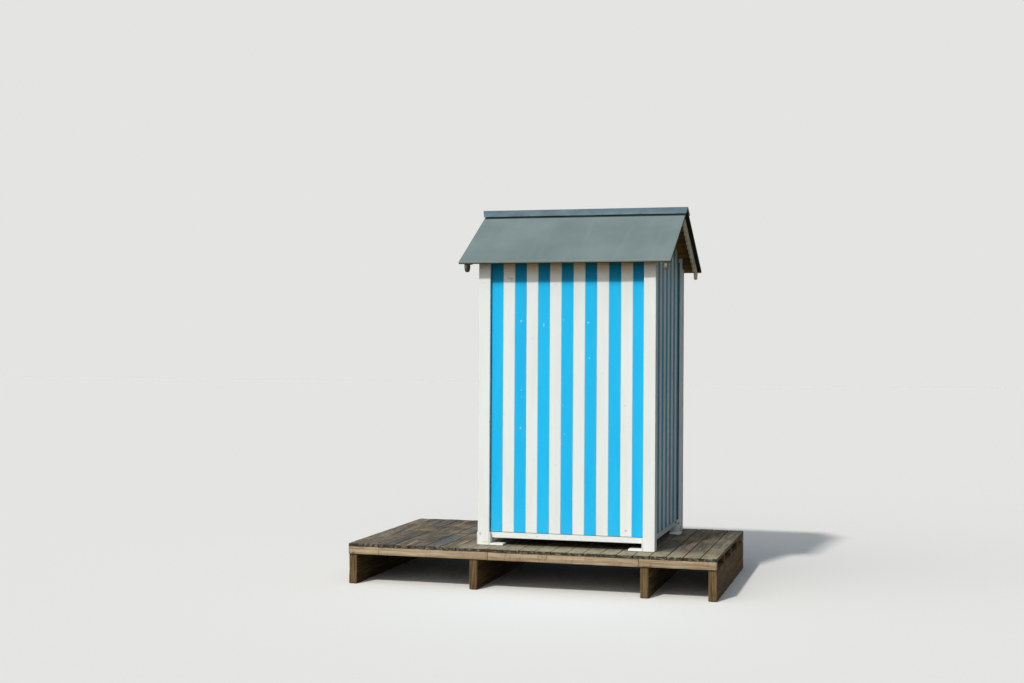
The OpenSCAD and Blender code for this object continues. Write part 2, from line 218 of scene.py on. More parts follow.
def noise(place, scale=1.0, detail=3.0, distortion=0.0):
    """Cloudy noise with about scale features to the metre."""
    links = {"Vector": place, "Scale": scale, "Detail": detail, "Distortion": distortion}
    return node(place.id_data, "ShaderNodeTexNoise", links).outputs["Fac"]


def cells(place, scale, output="Distance"):
    """Cells round scattered points: the distance to the nearest point, or a random colour for each cell."""
    return node(place.id_data, "ShaderNodeTexVoronoi", {"Vector": place, "Scale": scale}).outputs[output]


def on_object(tree):
    """Place in the object's own coordinates, in metres."""
    return node(tree, "ShaderNodeTexCoord").outputs["Object"]


def principled(name, **sockets):
    """A material with a Principled shader, and the values that are the same all over its surface."""
    material = bpy.data.materials.new(name)
    material.use_nodes = True
    for key, value in sockets.items():
        material.node_tree.nodes["Principled BSDF"].inputs[key.replace("_", " ")].default_value = value
    return material, material.node_tree


def finished(material, colour, gloss=None, relief=None, strength=0.5, depth=0.001):
    """Links what varies over the surface: colour, roughness, and a relief as deep as depth in metres."""
    tree = material.node_tree
    varied = {"Base Color": colour}
    if gloss is not None:
        varied["Roughness"] = gloss
    if relief is not None:
        bump = {"Strength": strength, "Distance": depth, "Height": relief}
        varied["Normal"] = node(tree, "ShaderNodeBump", bump).outputs[0]
    for key, value in varied.items():
        tree.links.new(value, tree.nodes["Principled BSDF"].inputs[key])
    return material


# %% [markdown]
# ## What a timber's material can read
#
# Grain runs along a board, so each vertex keeps its place on its own timber: across, through and along,
# from the timber's middle, with half the timber's size beside it. The difference of the two is the distance
# to the nearest arris and to the nearest end, where paint wears and water soaks in. A random tone for each
# timber shifts the pattern, so that no two boards match.

# %% What every timber material shares
def read(tree, name, output="Vector"):
    """What each vertex keeps under a name."""
    return node(tree, "ShaderNodeAttribute", attribute_name=name).outputs[output]


def timber_place(tree):
    """Place on the timber, shifted by its tone."""
    return vector("MULTIPLY_ADD", read(tree, "tone", "Fac"), (71, 37, 0), read(tree, "timber"))


def rim(tree):
    """Distances to the nearest arris and to the nearest end, in metres."""
    left = vector("SUBTRACT", read(tree, "half_size"), vector("ABSOLUTE", read(tree, "timber")))
    return number("ADD", component(left, 0), component(left, 1)), component(left, 2)


def grain(place, across_mm, along_mm, detail=3.0, distortion=0.0):
    """Noise whose features measure across_mm over the timber and along_mm along it."""
    scale = (1000 / across_mm, 1000 / across_mm, 1000 / along_mm)
    return noise(vector("MULTIPLY", place, scale), 1.0, detail, distortion)


def broken(whole, place, across_mm, along_mm, low, high):
    """A mask broken up by grain: nothing is left where the noise is under low, all where it is over high."""
    return times(whole, mask(grain(place, across_mm, along_mm), low, high))


# %% [markdown]
# ## Paint on planed softwood
#
# The walls and posts are spruce with two coats of alkyd paint, laid on with a brush along the grain. The eye
# reads three things: streaks under a millimetre wide, drawn about 3 mm here so that they show, a slow
# chalking where the sun falls, and grey dirt in the joints and at the feet. Paint fills most of the grain,
# so the relief is a fraction of a millimetre. Under the eaves the blue is painted deeper and the white
# warmer, as painted shade where the eaves shade the wall. The walls that never face the sun get a darker,
# greyer blue, which is painted shade too.

# %% Painted softwood
sand_dust = "#A79474"


def painted_softwood(name, fresh, chalked, dirt, chipped, marks=(), painted_eaves_shade=None):
    """Alkyd paint brushed along planed spruce: satin, dirty on the arrises, sandy at the foot, with marks.

    Each mark is (x, z, width, height, amount) on the front of the hut, in millimetres from its corner.
    painted_eaves_shade is a colour painted under the eaves as shade, with the heights over the deck between
    which it sets in.
    """
    material, tree = principled(name, Specular_IOR_Level=0.12)
    place, arris = timber_place(tree), rim(tree)[0]
    spot = on_object(tree)
    height = component(spot, 2)
    streaks = grain(place, 3, 160)
    patches = grain(place, 90, 620, detail=2)
    colour = over(fresh, chalked, mask(patches, 0.35, 0.75), 0.55)
    colour = over(colour, chalked, mask(streaks, 0.5, 0.8), 0.35)
    colour = shaded(colour, read(tree, "tone", "Fac"), 0.965, 1.02)
    # Painted shade: the top of the wall takes a deeper or warmer colour where the eaves shade it.
    if painted_eaves_shade:
        eaves_shade_colour, first, full = painted_eaves_shade
        colour = over(colour, eaves_shade_colour, mask(height, deck_z + first, deck_z + full), 0.85)
    splash = broken(mask(height, deck_z + 0.34, deck_z + 0.02), place, 24, 40, 0.42, 0.7)
    colour = over(colour, sand_dust, splash, 0.09)
    colour = over(colour, dirt, broken(mask(arris, 0.0042, 0.0004), place, 20, 90, 0.3, 0.62), 0.3)
    colour = over(colour, chipped, broken(mask(arris, 0.012, 0.002), place, 7, 22, 0.7, 0.74), 0.8)
    colour = over(colour, chipped, mask(cells(place, 9.0), 0.055, 0.03), 0.45)
    for x, z, width, tall, amount in marks:
        away = vector("SUBTRACT", spot, (corner[0] + x / 1000, 0.0, corner[2] + z / 1000))
        away = vector("MULTIPLY", away, (2000 / width, 0, 2000 / tall))
        ragged = number("ADD", vector("LENGTH", away, output=1), grain(place, 9, 12))
        colour = over(colour, chipped, mask(ragged, 1.5, 1.2), amount)
    relief = number("ADD", streaks, grain(place, 14, 420))
    return finished(material, colour, ranged(patches, 0.3, 0.7, 0.56, 0.72), relief, 0.5, 0.0006)


# %% Paints of this hut
blues = ("#1EBCF2", "#30C3F4", "#24698A", "#BCDDE6")
blue_marks = [(325, 1687, 16, 22, 0.5), (499, 1658, 14, 30, 0.45), (839, 1677, 18, 16, 0.5),
              (848, 1414, 12, 18, 0.5), (322, 885, 14, 26, 0.45)]
white_marks = [(233, 2008, 64, 16, 0.35), (246, 1996, 16, 40, 0.3), (216, 2022, 30, 10, 0.3),
               (1129, 144, 26, 18, 0.5)]
post_marks = [(22, 86, 20, 30, 0.5), (60, 24, 70, 16, 0.3)]
# The front blue and the white carry a band of painted shade under the eaves.
blue_paint = painted_softwood("blue_paint_on_spruce", *blues, blue_marks, painted_eaves_shade=("#047BA6", 1.93, 2.02))
door_blue = painted_softwood("blue_paint_on_the_door_side", *blues)
# Painted shade: a darker, greyer copy of the blue for the walls that the sun does not reach.
shaded_wall_blue = painted_softwood("blue_paint_with_painted_shade", "#2A8CA8", "#3894AE", "#2A5564", "#9DBFC9")
white_paint = painted_softwood("white_paint_on_spruce", "#EBEEEA", "#E2E4DD", "#A5A299", "#B3A88F",
                               white_marks, painted_eaves_shade=("#F0DCC6", 2.015, 2.075))
# Painted shade: a dark blue for the corner beads, standing in for the shade in the corners.
corner_shade_blue = painted_softwood("dark_blue_painted_corner_shade", "#0E5068", "#155A70", "#1D3036", "#3D5A62")
joinery_white = painted_softwood("white_paint_on_posts", "#EAEDE8", "#E3E3DB", "#9C988C", "#A99B82",
                                 post_marks)
print("paints", blue_paint.name, white_paint.name, joinery_white.name)

# %% [markdown]
# ## Bare timber in the sun
#
# Nothing protects the deck, and sun and salt turn it silver. The soft early wood washes out, so the late
# wood stands in ridges a few millimetres apart, drying splits run along the grain, and the ends go dark
# where they drink water. Rain leaves brown streaks across a bearer, feet wear a pale strip along the edge of
# the deck, and a sawn end shows its rings as upright lines. Sleepers, bearers, soffit and bargeboards are the
# same wood at other ages, so one function makes them all from their own colours and amounts.

# %% Bare timber
split_dark, rain_brown, blown_sand, trodden_pale = "#1F1B17", "#54402A", "#A8906C", "#A79B7E"
painted_overhang_shade, painted_eaves_edge_shade = "#17130E", "#1E1A13"


def bare_timber(name, dark, mid, pale, stain, figure_mm=22, spread=(0.8, 1.15), splits=0.8, ends=0.7,
                sand=0.0, relief=0.0012, cool=None, bleached=None, streaks=0.0, end_grain=0.0):
    """Sawn softwood left to the weather: figure, fibres, knots, drying splits, dark ends and blown sand.

    cool is the colour of the timbers that went blue-grey, bleached that of the upper part of an eaves edge;
    with bleached, the board ends and the lower part of the eaves edges are darkened as painted shade.
    streaks are stains that rain left across the timber, end_grain are upright lines on the sawn ends.
    """
    material, tree = principled(name, Roughness=0.86, Specular_IOR_Level=0.15)
    place, tone = timber_place(tree), read(tree, "tone", "Fac")
    arris, end = rim(tree)
    normal = node(tree, "ShaderNodeNewGeometry").outputs["Normal"]
    figure = grain(place, figure_mm, figure_mm * 26, detail=5, distortion=0.6)
    fibres = grain(place, 3.2, 120)
    figured = node(tree, "ShaderNodeMix", {0: 0.45, 2: figure, 3: fibres}).outputs[0]
    colour = ramp(figured, (0.36, dark), (0.64, pale), (0.5, mid))
    colour = over(colour, stain, mask(grain(place, 70, 260), 0.5, 0.72), 0.55)
    if cool:
        odd = number("FRACT", times(tone, 7.3))
        colour = over(colour, cool, broken(mask(odd, 0.35, 0.8), place, 60, 700, 0.3, 0.6), 0.75)
    colour = shaded(colour, tone, *spread)
    knot = cells(vector("MULTIPLY", place, (9, 9, 3.2)), 1.0)
    colour = over(colour, stain, mask(knot, 0.17, 0.1), 0.6)
    colour = over(colour, dark, mask(knot, 0.1, 0.06), 0.8)
    colour = over(colour, dark, broken(mask(end, 0.02, 0.002), place, 30, 30, 0.36, 0.6), ends)
    colour = over(colour, stain, broken(mask(arris, 0.006, 0.0005), place, 16, 60, 0.35, 0.6), 0.5)
    crack = mask(grain(place, 4.5, 330, detail=1), 0.3, 0.25)
    colour = over(colour, split_dark, crack, splits)
    if bleached:
        edge = mask(component(vector("ABSOLUTE", normal), 1), 0.6, 0.8)
        upper = mask(component(read(tree, "timber"), 1), -0.001, 0.002)
        # Painted shade: the board ends under the gable overhang and the eaves edges are darkened.
        colour = over(colour, painted_overhang_shade, mask(end, 0.036, 0.03))
        colour = over(colour, painted_eaves_edge_shade, edge)
        colour = over(colour, bleached, edge, upper)
    if streaks:
        drip = broken(mask(grain(place, 80, 15), 0.48, 0.66), place, 300, 190, 0.42, 0.62)
        colour = over(colour, rain_brown, drip, streaks)
    if end_grain:
        rings = noise(vector("MULTIPLY", place, (7, 190, 190)), 1.0, 4.0)
        upright = ramp(rings, (0.34, dark), (0.66, pale))
        colour = over(colour, upright, mask(end, 0.008, 0.004), end_grain)
    if sand:
        spot = on_object(tree)
        drift = noise(spot, 3.4, 6.0)
        top = mask(component(normal, 2), 0.5, 0.9)
        colour = over(colour, blown_sand, times(mask(drift, 0.5, 0.66), top), sand)
        winding = number("MULTIPLY_ADD", drift, 0.5, component(spot, 1))
        trodden = times(mask(winding, -0.2, -0.46), mask(component(spot, 0), -0.7, -0.4))
        worn_off = ranged(grain(place, 40, 90), 0.34, 0.56, 0.45, 0.85)
        colour = over(colour, trodden_pale, times(trodden, worn_off), top)
    return finished(material, colour, None, number("SUBTRACT", figured, crack), 0.8, relief)


# %% Bare timbers of this hut
deck_timber = bare_timber("silvered_deck_pine", "#3A352E", "#6E6556", "#A89B84", "#4A4136",
                          spread=(0.76, 1.14), splits=0.9, ends=1.0, sand=0.5, cool="#575D61", streaks=0.3)
bearer_timber = bare_timber("bleached_bearer_pine", "#867053", "#AF9A7C", "#C8B495", "#927856",
                            spread=(0.93, 1.05), splits=0.7, ends=0.6, streaks=0.6)
sleeper_timber = bare_timber("old_sleeper_oak", "#37291A", "#67543A", "#88714C", "#463521",
                             spread=(0.9, 1.12), end_grain=0.9)
frame_timber = bare_timber("brown_stained_frame", "#4A3A28", "#6A543B", "#80694C", "#3E3020", ends=0.2,
                           splits=0.3, relief=0.0006)
soffit_timber = bare_timber("brown_stained_roof_boards", "#664F31", "#957749", "#AE8E60", "#554126",
                            ends=1.0, splits=0.3, relief=0.0006, bleached="#A3A59A")
# The bargeboards' spread of tones, from dark to over-bright, paints light and shade on them.
barge_timber = bare_timber("peeled_bargeboard_pine_with_painted_light", "#7F7A69", "#AAA58F", "#BFB9A1", "#6B6350", figure_mm=30,
                           spread=(0.3, 2.1), splits=0.5, ends=0.4, relief=0.0008)
print("bare timbers", [m.name for m in (deck_timber, bearer_timber, sleeper_timber, barge_timber)])

# %% [markdown]
# ## Sheet, metal and nails
#
# The roof is covered with a matt grey-green sheet, the ridge with folded zinc that has gone dull, and the
# ironwork is hot-dip galvanised. All three are made flat and get their character from weather: faint runs
# down the slope on the sheet, a blue-grey bloom on the zinc, crystals on the steel.

# %% Roofing sheet and metals
cap_shade = (rake_l / 2 - 0.127, rake_l / 2 - 0.122)


def roofing_sheet():
    """Matt coated roofing sheet: mineral grit, faint runs down the slope, dark where the cap shades it."""
    material, tree = principled("matt_grey_green_roofing_sheet", Roughness=0.78, Specular_IOR_Level=0.2)
    place = timber_place(tree)
    grit = noise(place, 420.0, 2.0)
    runs = noise(vector("MULTIPLY", place, (1.6, 1.6, 16)), 1.0, 4.0)
    colour = ramp(noise(place, 3.0, 4.0), (0.32, "#6E7C7A"), (0.7, "#7A8886"))
    colour = over(colour, "#84918D", mask(runs, 0.5, 0.75), 0.25)
    colour = over(colour, "#5B6866", mask(grit, 0.52, 0.7), 0.3)
    colour = over(colour, "#8E9489", mask(rim(tree)[0], 0.022, 0.002), 0.45)
    # Painted shade: a dark strip of sheet under the cap's lower edge.
    colour = over(colour, "#2A3331", mask(component(read(tree, "timber"), 0), *cap_shade))
    return finished(material, colour, None, grit, 0.35, 0.0005)


def dull_zinc():
    """Folded zinc sheet with a blue-grey bloom, darker where water stood and paler in fine specks."""
    material, tree = principled("dull_folded_zinc", Metallic=0.25, Specular_IOR_Level=0.3)
    spot = on_object(tree)
    bloom = noise(spot, 7.0, 6.0)
    colour = ramp(bloom, (0.34, "#4D646C"), (0.68, "#698088"))
    colour = over(colour, "#768F97", mask(noise(spot, 90.0), 0.56, 0.72), 0.3)
    return finished(material, colour, ranged(bloom, 0.3, 0.7, 0.48, 0.66), bloom, 0.25, 0.0006)


def galvanised_steel():
    """Hot-dip zinc on steel: crystals about 6 mm wide, and brown where the zinc has worn through."""
    material, tree = principled("galvanised_steel", Metallic=0.85)
    spot = on_object(tree)
    crystal = node(tree, "ShaderNodeSeparateColor", {0: cells(spot, 160.0, "Color")}).outputs[0]
    colour = ramp(crystal, (0, "#7E8284"), (1, "#A3A6A6"))
    colour = over(colour, "#6B4A30", mask(noise(spot, 45.0, 4.0), 0.56, 0.7), 0.7)
    return finished(material, colour, ranged(crystal, 0, 1, 0.38, 0.58))


def rusted_nail():
    """Cut steel nail heads, brown all over with darker pits."""
    material, tree = principled("rusted_nail_steel", Metallic=0.3, Roughness=0.75)
    return finished(material, ramp(noise(on_object(tree), 600.0), (0.35, "#2B211B"), (0.65, "#5A4333")))


zinc_finish, steel_finish, nail_finish = dull_zinc(), galvanised_steel(), rusted_nail()
slot_finish = {"sleeper_timber": sleeper_timber, "bearer_timber": bearer_timber, "deck_timber": deck_timber,
               "white_paint": joinery_white, "frame_timber": frame_timber, "roof_timber": soffit_timber,
               "roof_covering": roofing_sheet(), "ridge_metal": zinc_finish, "barge_timber": barge_timber,
               "hinge_steel": steel_finish}
print("metals", zinc_finish.name, steel_finish.name, nail_finish.name)

# %% [markdown]
# ## Surfaces as grids
#
# A sawn timber is a rectangle carried along a line, with its four arrises rounded by plane and weather. That
# is a surface of two parameters, station along the timber and point round the section, and numpy works it out
# for all the timbers of a wall at once. Modelling boxes and bevelling them would give the same shape, but a
# grid also lets each board bend, fray and be cut to the roof with plain formulas.

# %% Section and stations of a timber
quarter = np.array([0, 0.5, 1]) * np.pi / 2


def section(across_steps, through_steps):
    """Points round a rectangle: a place on the inner rectangle from -1 to 1, and the way its arris bulges."""
    signs = np.array([[1, 1], [-1, 1], [-1, -1], [1, -1]], float)
    inner, outward = [], []
    for i in range(4):
        turn = i * np.pi / 2 + quarter
        way = np.stack([np.cos(turn), np.sin(turn)], -1)
        n = (across_steps, through_steps)[i % 2]
        share = np.arange(1, n)[:, None] / n
        inner += [np.repeat(signs[i:i + 1], 3, 0), signs[i] * (1 - share) + signs[(i + 1) % 4] * share]
        outward += [way, np.repeat(way[-1:], n - 1, 0)]
    return np.concatenate(inner), np.concatenate(outward)


def stations(steps, edge):
    """Share of the length, shift along it and radius of the arris, at each station of a run.

    At the ends the radius falls as the sine of a quarter turn while the station moves by its cosine.
    """
    share = np.concatenate([np.zeros(3), np.arange(1, steps) / steps, np.ones(3)])
    shift = np.concatenate([1 - np.cos(quarter), np.zeros(steps - 1), np.cos(quarter[::-1]) - 1]) * edge
    radius = np.concatenate([np.sin(quarter), np.ones(steps - 1), np.sin(quarter[::-1])]) * edge
    return share, shift, radius


def grid(xyz, local, half, flat=False, tone=0.0, paint=0):
    """One or many alike parts: places, places on the timber, half sizes, flat sides, tones and paints."""
    n, ring = xyz.shape[0], xyz.shape[2]
    return {"xyz": xyz, "local": local, "half": half, "flat": np.broadcast_to(flat, ring),
            "tone": np.broadcast_to(tone, n), "paint": np.broadcast_to(paint, n)}


def timbers(start, along, across, size, edge=0.002, steps=1, flats=(1, 1), tone=0.0, paint=0, smooth=False):
    """Grids of one or many timbers of size (across, through, along), with through = along x across.

    Point = start + s along + a across + b through. Round the section (a, b) = inner rectangle + radius x
    outward way.
    """
    start = np.atleast_2d(np.asarray(start, float))
    size = np.broadcast_to(np.asarray(size, float), start.shape)
    along, across = np.asarray(along, float), np.asarray(across, float)
    inner, outward = section(*flats)
    share, shift, radius = stations(steps, edge)
    ab = inner * (size[:, None, None, :2] / 2 - edge) + outward * radius[:, None, None]
    s = np.broadcast_to((size[:, 2:] * share + shift)[:, :, None, None], (*ab.shape[:3], 1))
    xyz = start[:, None, None] + s * along + ab[..., :1] * across + ab[..., 1:] * np.cross(along, across)
    local = np.concatenate([ab, s - size[:, None, None, 2:] / 2], -1)
    flat = np.all(outward == np.roll(outward, -1, 0), -1) & (not smooth)
    return grid(xyz, local, size / 2, flat, tone, paint)


print("a plain timber has", len(stations(1, 0.002)[0]), "stations of", len(section(1, 1)[0]), "points")


# %% Timbers between two corners, and their mirrored copies
def filling(span, axis, **how):
    """Timber that fills a span, a low and a high corner or the name of a CAD node, and runs along an axis."""
    low, high = box(span) if isinstance(span, str) else span
    a, b = (axis + 1) % 3, (axis + 2) % 3
    start = (low + high) / 2
    start[axis] = low[axis]
    extent = high - low
    return timbers(start, np.eye(3)[axis], np.eye(3)[a], (extent[a], extent[b], extent[axis]), **how)


def joined(*parts):
    """Parts in one list, whether they come alone or in lists."""
    return [p for part in parts for p in (part if isinstance(part, list) else [part])]


tone_step, axis_step = 0.37, 0.2


def mirrored(parts, axis):
    """Copies of parts on the other side of the hut: x becomes hut length - x, or y becomes hut depth - y.

    Their tones step on, so that no copy shows the grain of its original.
    """
    copies = []
    for part in joined(parts):
        xyz = part["xyz"].copy()
        xyz[..., axis] = (hut_l, hut_d)[axis] - xyz[..., axis]
        copies.append({**part, "xyz": xyz, "tone": (part["tone"] + tone_step + axis_step * axis) % 1})
    return copies


corners = [(side_x, side_y) for side_y in ("front", "back") for side_x in ("left", "right")]


def placed(parts, side_x, side_y):
    """Parts made for the front left corner, mirrored to the sides of the hut that are named."""
    parts = mirrored(parts, 0) if side_x == "right" else joined(parts)
    return mirrored(parts, 1) if side_y == "back" else parts


print("the front wall fills", [round(float(v), 3) for v in np.subtract(*box("front_wall")[::-1])], "m")

# %% [markdown]
# ## From grids to pieces
#
# Every piece ends here. The quads join station j to j + 1 and point k to k + 1, the two ends are closed with
# one face each, and a grid that came out inside out, as a mirrored one does, is turned by the sign of its
# volume. The long flat sides are shaded flat and only the rounded arrises smooth, which keeps a board from
# looking like a pillow.

# %% Mesh of a piece
def faces(part):
    """Corners of the quads and of the two end faces of a part's first copy, with their normals outward."""
    stations_n, ring = part["xyz"].shape[1:3]
    j, k = np.arange(stations_n - 1)[:, None] * ring, np.arange(ring)
    after = (k + 1) % ring
    quads = np.stack([j + k, j + after, j + ring + after, j + ring + k], -1).reshape(-1, 4)
    ends = np.stack([k[::-1], (stations_n - 1) * ring + k])
    p = part["xyz"][0].reshape(-1, 3)[quads]
    facing = np.cross(p[:, 2] - p[:, 0], p[:, 3] - p[:, 1])
    if np.sum(facing * (p.mean(1) - part["xyz"][0].mean((0, 1)))) < 0:
        quads, ends = quads[:, ::-1], ends[:, ::-1]
    return quads, ends


def piece(name, slot, replaced, *parts, finishes=None):
    """Joins grids into one mesh that rides on the hut and stands for the CAD nodes in replaced.

    Without finishes it has the one that belongs to its slot.
    """
    points, local, half, tone, loops, counts, smooth, paint = [], [], [], [], [], [], [], []
    first = 0
    for part in joined(*parts):
        n, stations_n, ring = part["xyz"].shape[:3]
        quads, ends = faces(part)
        base = first + np.arange(n)[:, None, None] * (stations_n * ring)
        rounded = np.ones((stations_n - 1, ring), bool)
        # Two rows of quads at each end are rounded, and between them only the arrises.
        rounded[2:stations_n - 3] = ~part["flat"]
        loops += [(base + quads).ravel(), (base + ends).ravel()]
        counts += [np.full(n * len(quads), 4), np.full(n * 2, ring)]
        smooth += [np.tile(rounded.ravel(), n), np.zeros(n * 2, bool)]
        paint += [np.repeat(part["paint"], len(quads)), np.repeat(part["paint"], 2)]
        points.append(part["xyz"].reshape(-1, 3) + corner)
        local.append(part["local"].reshape(-1, 3))
        half.append(np.repeat(part["half"], stations_n * ring, 0))
        tone.append(np.repeat(part["tone"], stations_n * ring))
        first += n * stations_n * ring
    counts = np.concatenate(counts)
    mesh = bpy.data.meshes.new(name)
    mesh.vertices.add(first)
    mesh.loops.add(int(counts.sum()))
    mesh.polygons.add(len(counts))
    for rows, field, values in ((mesh.vertices, "co", np.concatenate(points)),
                                (mesh.loops, "vertex_index", np.concatenate(loops).astype(np.int32)),
                                (mesh.polygons, "loop_start", (np.cumsum(counts) - counts).astype(np.int32)),
                                (mesh.polygons, "material_index", np.concatenate(paint).astype(np.int32)),
                                (mesh.polygons, "use_smooth", np.concatenate(smooth))):
        rows.foreach_set(field, values.ravel())
    for key, kind, field, values in (("timber", "FLOAT_VECTOR", "vector", local),
                                     ("half_size", "FLOAT_VECTOR", "vector", half),
                                     ("tone", "FLOAT", "value", tone)):
        mesh.attributes.new(key, kind, "POINT").data.foreach_set(field, np.concatenate(values).ravel())
    for material in finishes or [slot_finish[slot]]:
        mesh.materials.append(material)
    mesh.update(calc_edges=True)
    mesh.validate()
    made = in_scene(name, mesh)
    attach(made, "root")
    if replaced:
        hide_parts(*replaced)
    print(f"{name}: {len(mesh.vertices)} vertices, {len(mesh.polygons)} faces, for {list(replaced)}")


def timber_piece(node_name, slot, *parts):
    """A piece that stands for one CAD node and is named after it."""
    piece(node_name + "_timber", slot, [node_name], *parts)


# %% [markdown]
# ## How timber moves and wears
#
# Boards bow as they dry, the saw leaves them a little uneven, and feet and sand fray their arrises. Each of
# these is a sum of a few sine waves along the timber with random phases, which is smooth, cheap, and the
# same in every run because the random numbers are seeded.

# %% Waves, warps and frays
weaker, shorter = 0.67, 0.62


def waves(s, shape, longest, rng, count=4):
    """Sum of sines of s with random phases, each wave weaker and shorter than the last by these factors."""
    total = np.zeros(np.broadcast_shapes(s.shape, shape))
    for i in range(count):
        phase = rng.uniform(0, 2 * np.pi, shape)
        total = total + weaker ** i * np.sin(2 * np.pi * s / (longest * shorter ** i) + phase)
    return total / count ** 0.5


def unit(vectors):
    """Vectors divided by their lengths."""
    return vectors / np.linalg.norm(vectors, axis=-1, keepdims=True)


ragged_wave, ragged_depth = 0.08, 0.012


def weathered(part, rng, bow=0.0, uneven=0.0, fray=0.0, cup=0.0, ragged=0.0, longest=0.9):
    """Bends and wears timbers in place.

    bow moves a timber by a half sine along its length, uneven lifts each line of the section by its own
    waves, fray does so only where the section is round, and cup dishes the face by a parabola. ragged eats
    into the ends by waves across the timber, which fade as e to the power of minus the depth over 12 mm.
    """
    xyz, local = part["xyz"], part["local"]
    half = part["half"][:, None, None]
    n, _, ring = local.shape[:3]
    s = local[..., 2]
    lift = waves(s, (n, 1, ring), longest, rng) * uneven
    lift += waves(s, (n, 1, ring), longest / 5, rng) * fray * ~(part["flat"] | np.roll(part["flat"], 1))
    out = -np.sign(local[..., :2]) * np.abs(lift)[..., None]
    side = np.sin(np.pi * (s / (2 * half[..., 2]) + 0.5)) * bow * rng.uniform(-1, 1, (n, 1, 1))
    dish = cup * (local[..., 0] / half[..., 0]) ** 2 * rng.uniform(-1, 1, (n, 1, 1))
    along = unit(xyz[:, -2:-1, :1] - xyz[:, 1:2, :1])
    middle = xyz[:, 2:3]
    across = unit(((middle - middle.mean(2, keepdims=True)) * local[:, 2:3, :, :1]).sum(2, keepdims=True))
    through = np.cross(along, across)
    worn = xyz + across * (out[..., :1] + side[..., None]) + through * (out[..., 1:] + dish[..., None])
    if ragged:
        eaten = np.abs(waves(local[..., 0], (n, 1, 1), ragged_wave, rng)) * -np.sign(s) * ragged
        worn = worn + along * (eaten * np.exp((np.abs(s) - half[..., 2]) / ragged_depth))[..., None]
    part["xyz"] = worn
    return part


sample = waves(np.linspace(0, 2, 200), (), 0.9, np.random.default_rng(0))
print(f"waves over 2 m of timber swing from {sample.min():.2f} to {sample.max():.2f}")

# %% [markdown]
# ## Turned and folded shapes
#
# Nail heads, bolts and hinge knuckles are turned: a ring whose radius and height follow a short profile.
# Bargeboards, straps and the ridge cap are an outline carried sideways. Both come out as the same kind of
# grid as a timber, so the same function turns them into pieces.

# %% Turned shapes and carried outlines
def turned(centres, axis, profile, sides=10, paint=0):
    """Turned shapes at many centres: ring j has radius r_j and lies h_j along the axis."""
    centres = np.atleast_2d(np.asarray(centres, float))
    axis = np.asarray(axis, float)
    side = unit(np.cross(axis, (0.36, 0.48, 0.8)))
    turn = np.arange(sides) * 2 * np.pi / sides
    r, h = np.asarray(profile, float).T
    a, b = r[:, None] * np.cos(turn), r[:, None] * np.sin(turn)
    h = np.broadcast_to(h[:, None], a.shape)
    shape = a[..., None] * side + b[..., None] * np.cross(axis, side) + h[..., None] * axis
    n = len(centres)
    local = np.broadcast_to(np.stack([a, b, h], -1), (n, *shape.shape))
    return grid(centres[:, None, None] + shape, local, np.full((n, 3), r.max()), False,
                np.linspace(0, 0.9, n), paint)


def nail_heads(centres, axis, radius=0.004, height=0.0012, paint=0):
    """Domed nail heads that stand height proud, with their shank sunk in the wood."""
    return turned(centres, axis, [(radius, -0.001), (radius, height * 0.5), (radius * 0.7, height * 0.9),
                                  (radius * 0.3, height)], sides=8, paint=paint)


def carried(outline, x0, depth, edge=0.0015, steps=1, place_on=None, tone=0.5, paint=0):
    """A closed outline in (y, z) carried along X from x0, with rounded rims.

    The rim moves each point inwards along the mean normal of its two edges by edge x (1 - sine), while x
    moves by edge x (1 - cosine).
    """
    ahead_edge = unit(np.roll(outline, -1, 0) - outline)
    tangent = unit(ahead_edge + np.roll(ahead_edge, 1, 0))
    after = np.roll(outline, -1, 0)
    area = np.sum(outline[:, 0] * after[:, 1] - outline[:, 1] * after[:, 0])
    inward = np.stack([-tangent[:, 1], tangent[:, 0]], -1) * np.sign(area)
    share, shift, radius = stations(steps, edge)
    x = np.broadcast_to((x0 + depth * share + shift)[:, None], (len(share), len(outline)))
    yz = outline + inward * (edge - radius)[:, None, None]
    xyz = np.concatenate([x[..., None], yz], -1)[None]
    local = place_on(xyz) if place_on else xyz - np.array([x0 + depth / 2, 0, 0])
    return grid(xyz, local, np.abs(local).max((1, 2)), False, tone, paint)


print("a nail head has", nail_heads((0, 0, 0), (0, 0, 1))["xyz"][0, ..., 0].size, "points")

# %% [markdown]
# ## The deck
#
# Four sleepers stand on edge in the sand, five bearers cross them, and twenty-three boards lie over those.
# The boards were nailed down by eye: their ends stagger by a few millimetres, no two lie at quite the same
# height, and each has two nails at every bearer.

# %% Sleepers and bearers
rng = np.random.default_rng(11)
for i in range(4):
    timber = filling(f"sleeper_{i + 1}", 1, edge=0.005, steps=30, flats=(4, 2), tone=0.15 + 0.2 * i,
                     smooth=True)
    timber_piece(f"sleeper_{i + 1}", "sleeper_timber", weathered(timber, rng, uneven=0.0016, fray=0.002))

deck_lo, deck_hi = box("deck_boards")
bearer_lo, bearer_hi = box("bearer_front")
bearer_w = bearer_hi[1] - bearer_lo[1]
bearer_ys = np.linspace(bearer_lo[1], box("bearer_back")[0][1], 5)
butt_gap, off_line = 0.001, 0.003


def bearer_row(y0, joints, tones):
    """Bearer timbers end to end along X, with joints at the places given, each a little out of line."""
    row = []
    joints = (bearer_lo[0], *joints, bearer_hi[0])
    for x0, x1, tone in zip(joints[:-1], joints[1:], tones):
        low = np.array([x0 + butt_gap, y0, bearer_lo[2]])
        high = np.array([x1 - butt_gap, y0 + bearer_w, bearer_hi[2]])
        low += (0, rng.uniform(0, off_line), rng.uniform(0, off_line))
        timber = filling((low, high), 0, edge=0.003, steps=26, flats=(3, 3), tone=tone, smooth=True)
        row.append(weathered(timber, rng, uneven=0.0009, fray=0.0012))
    return row


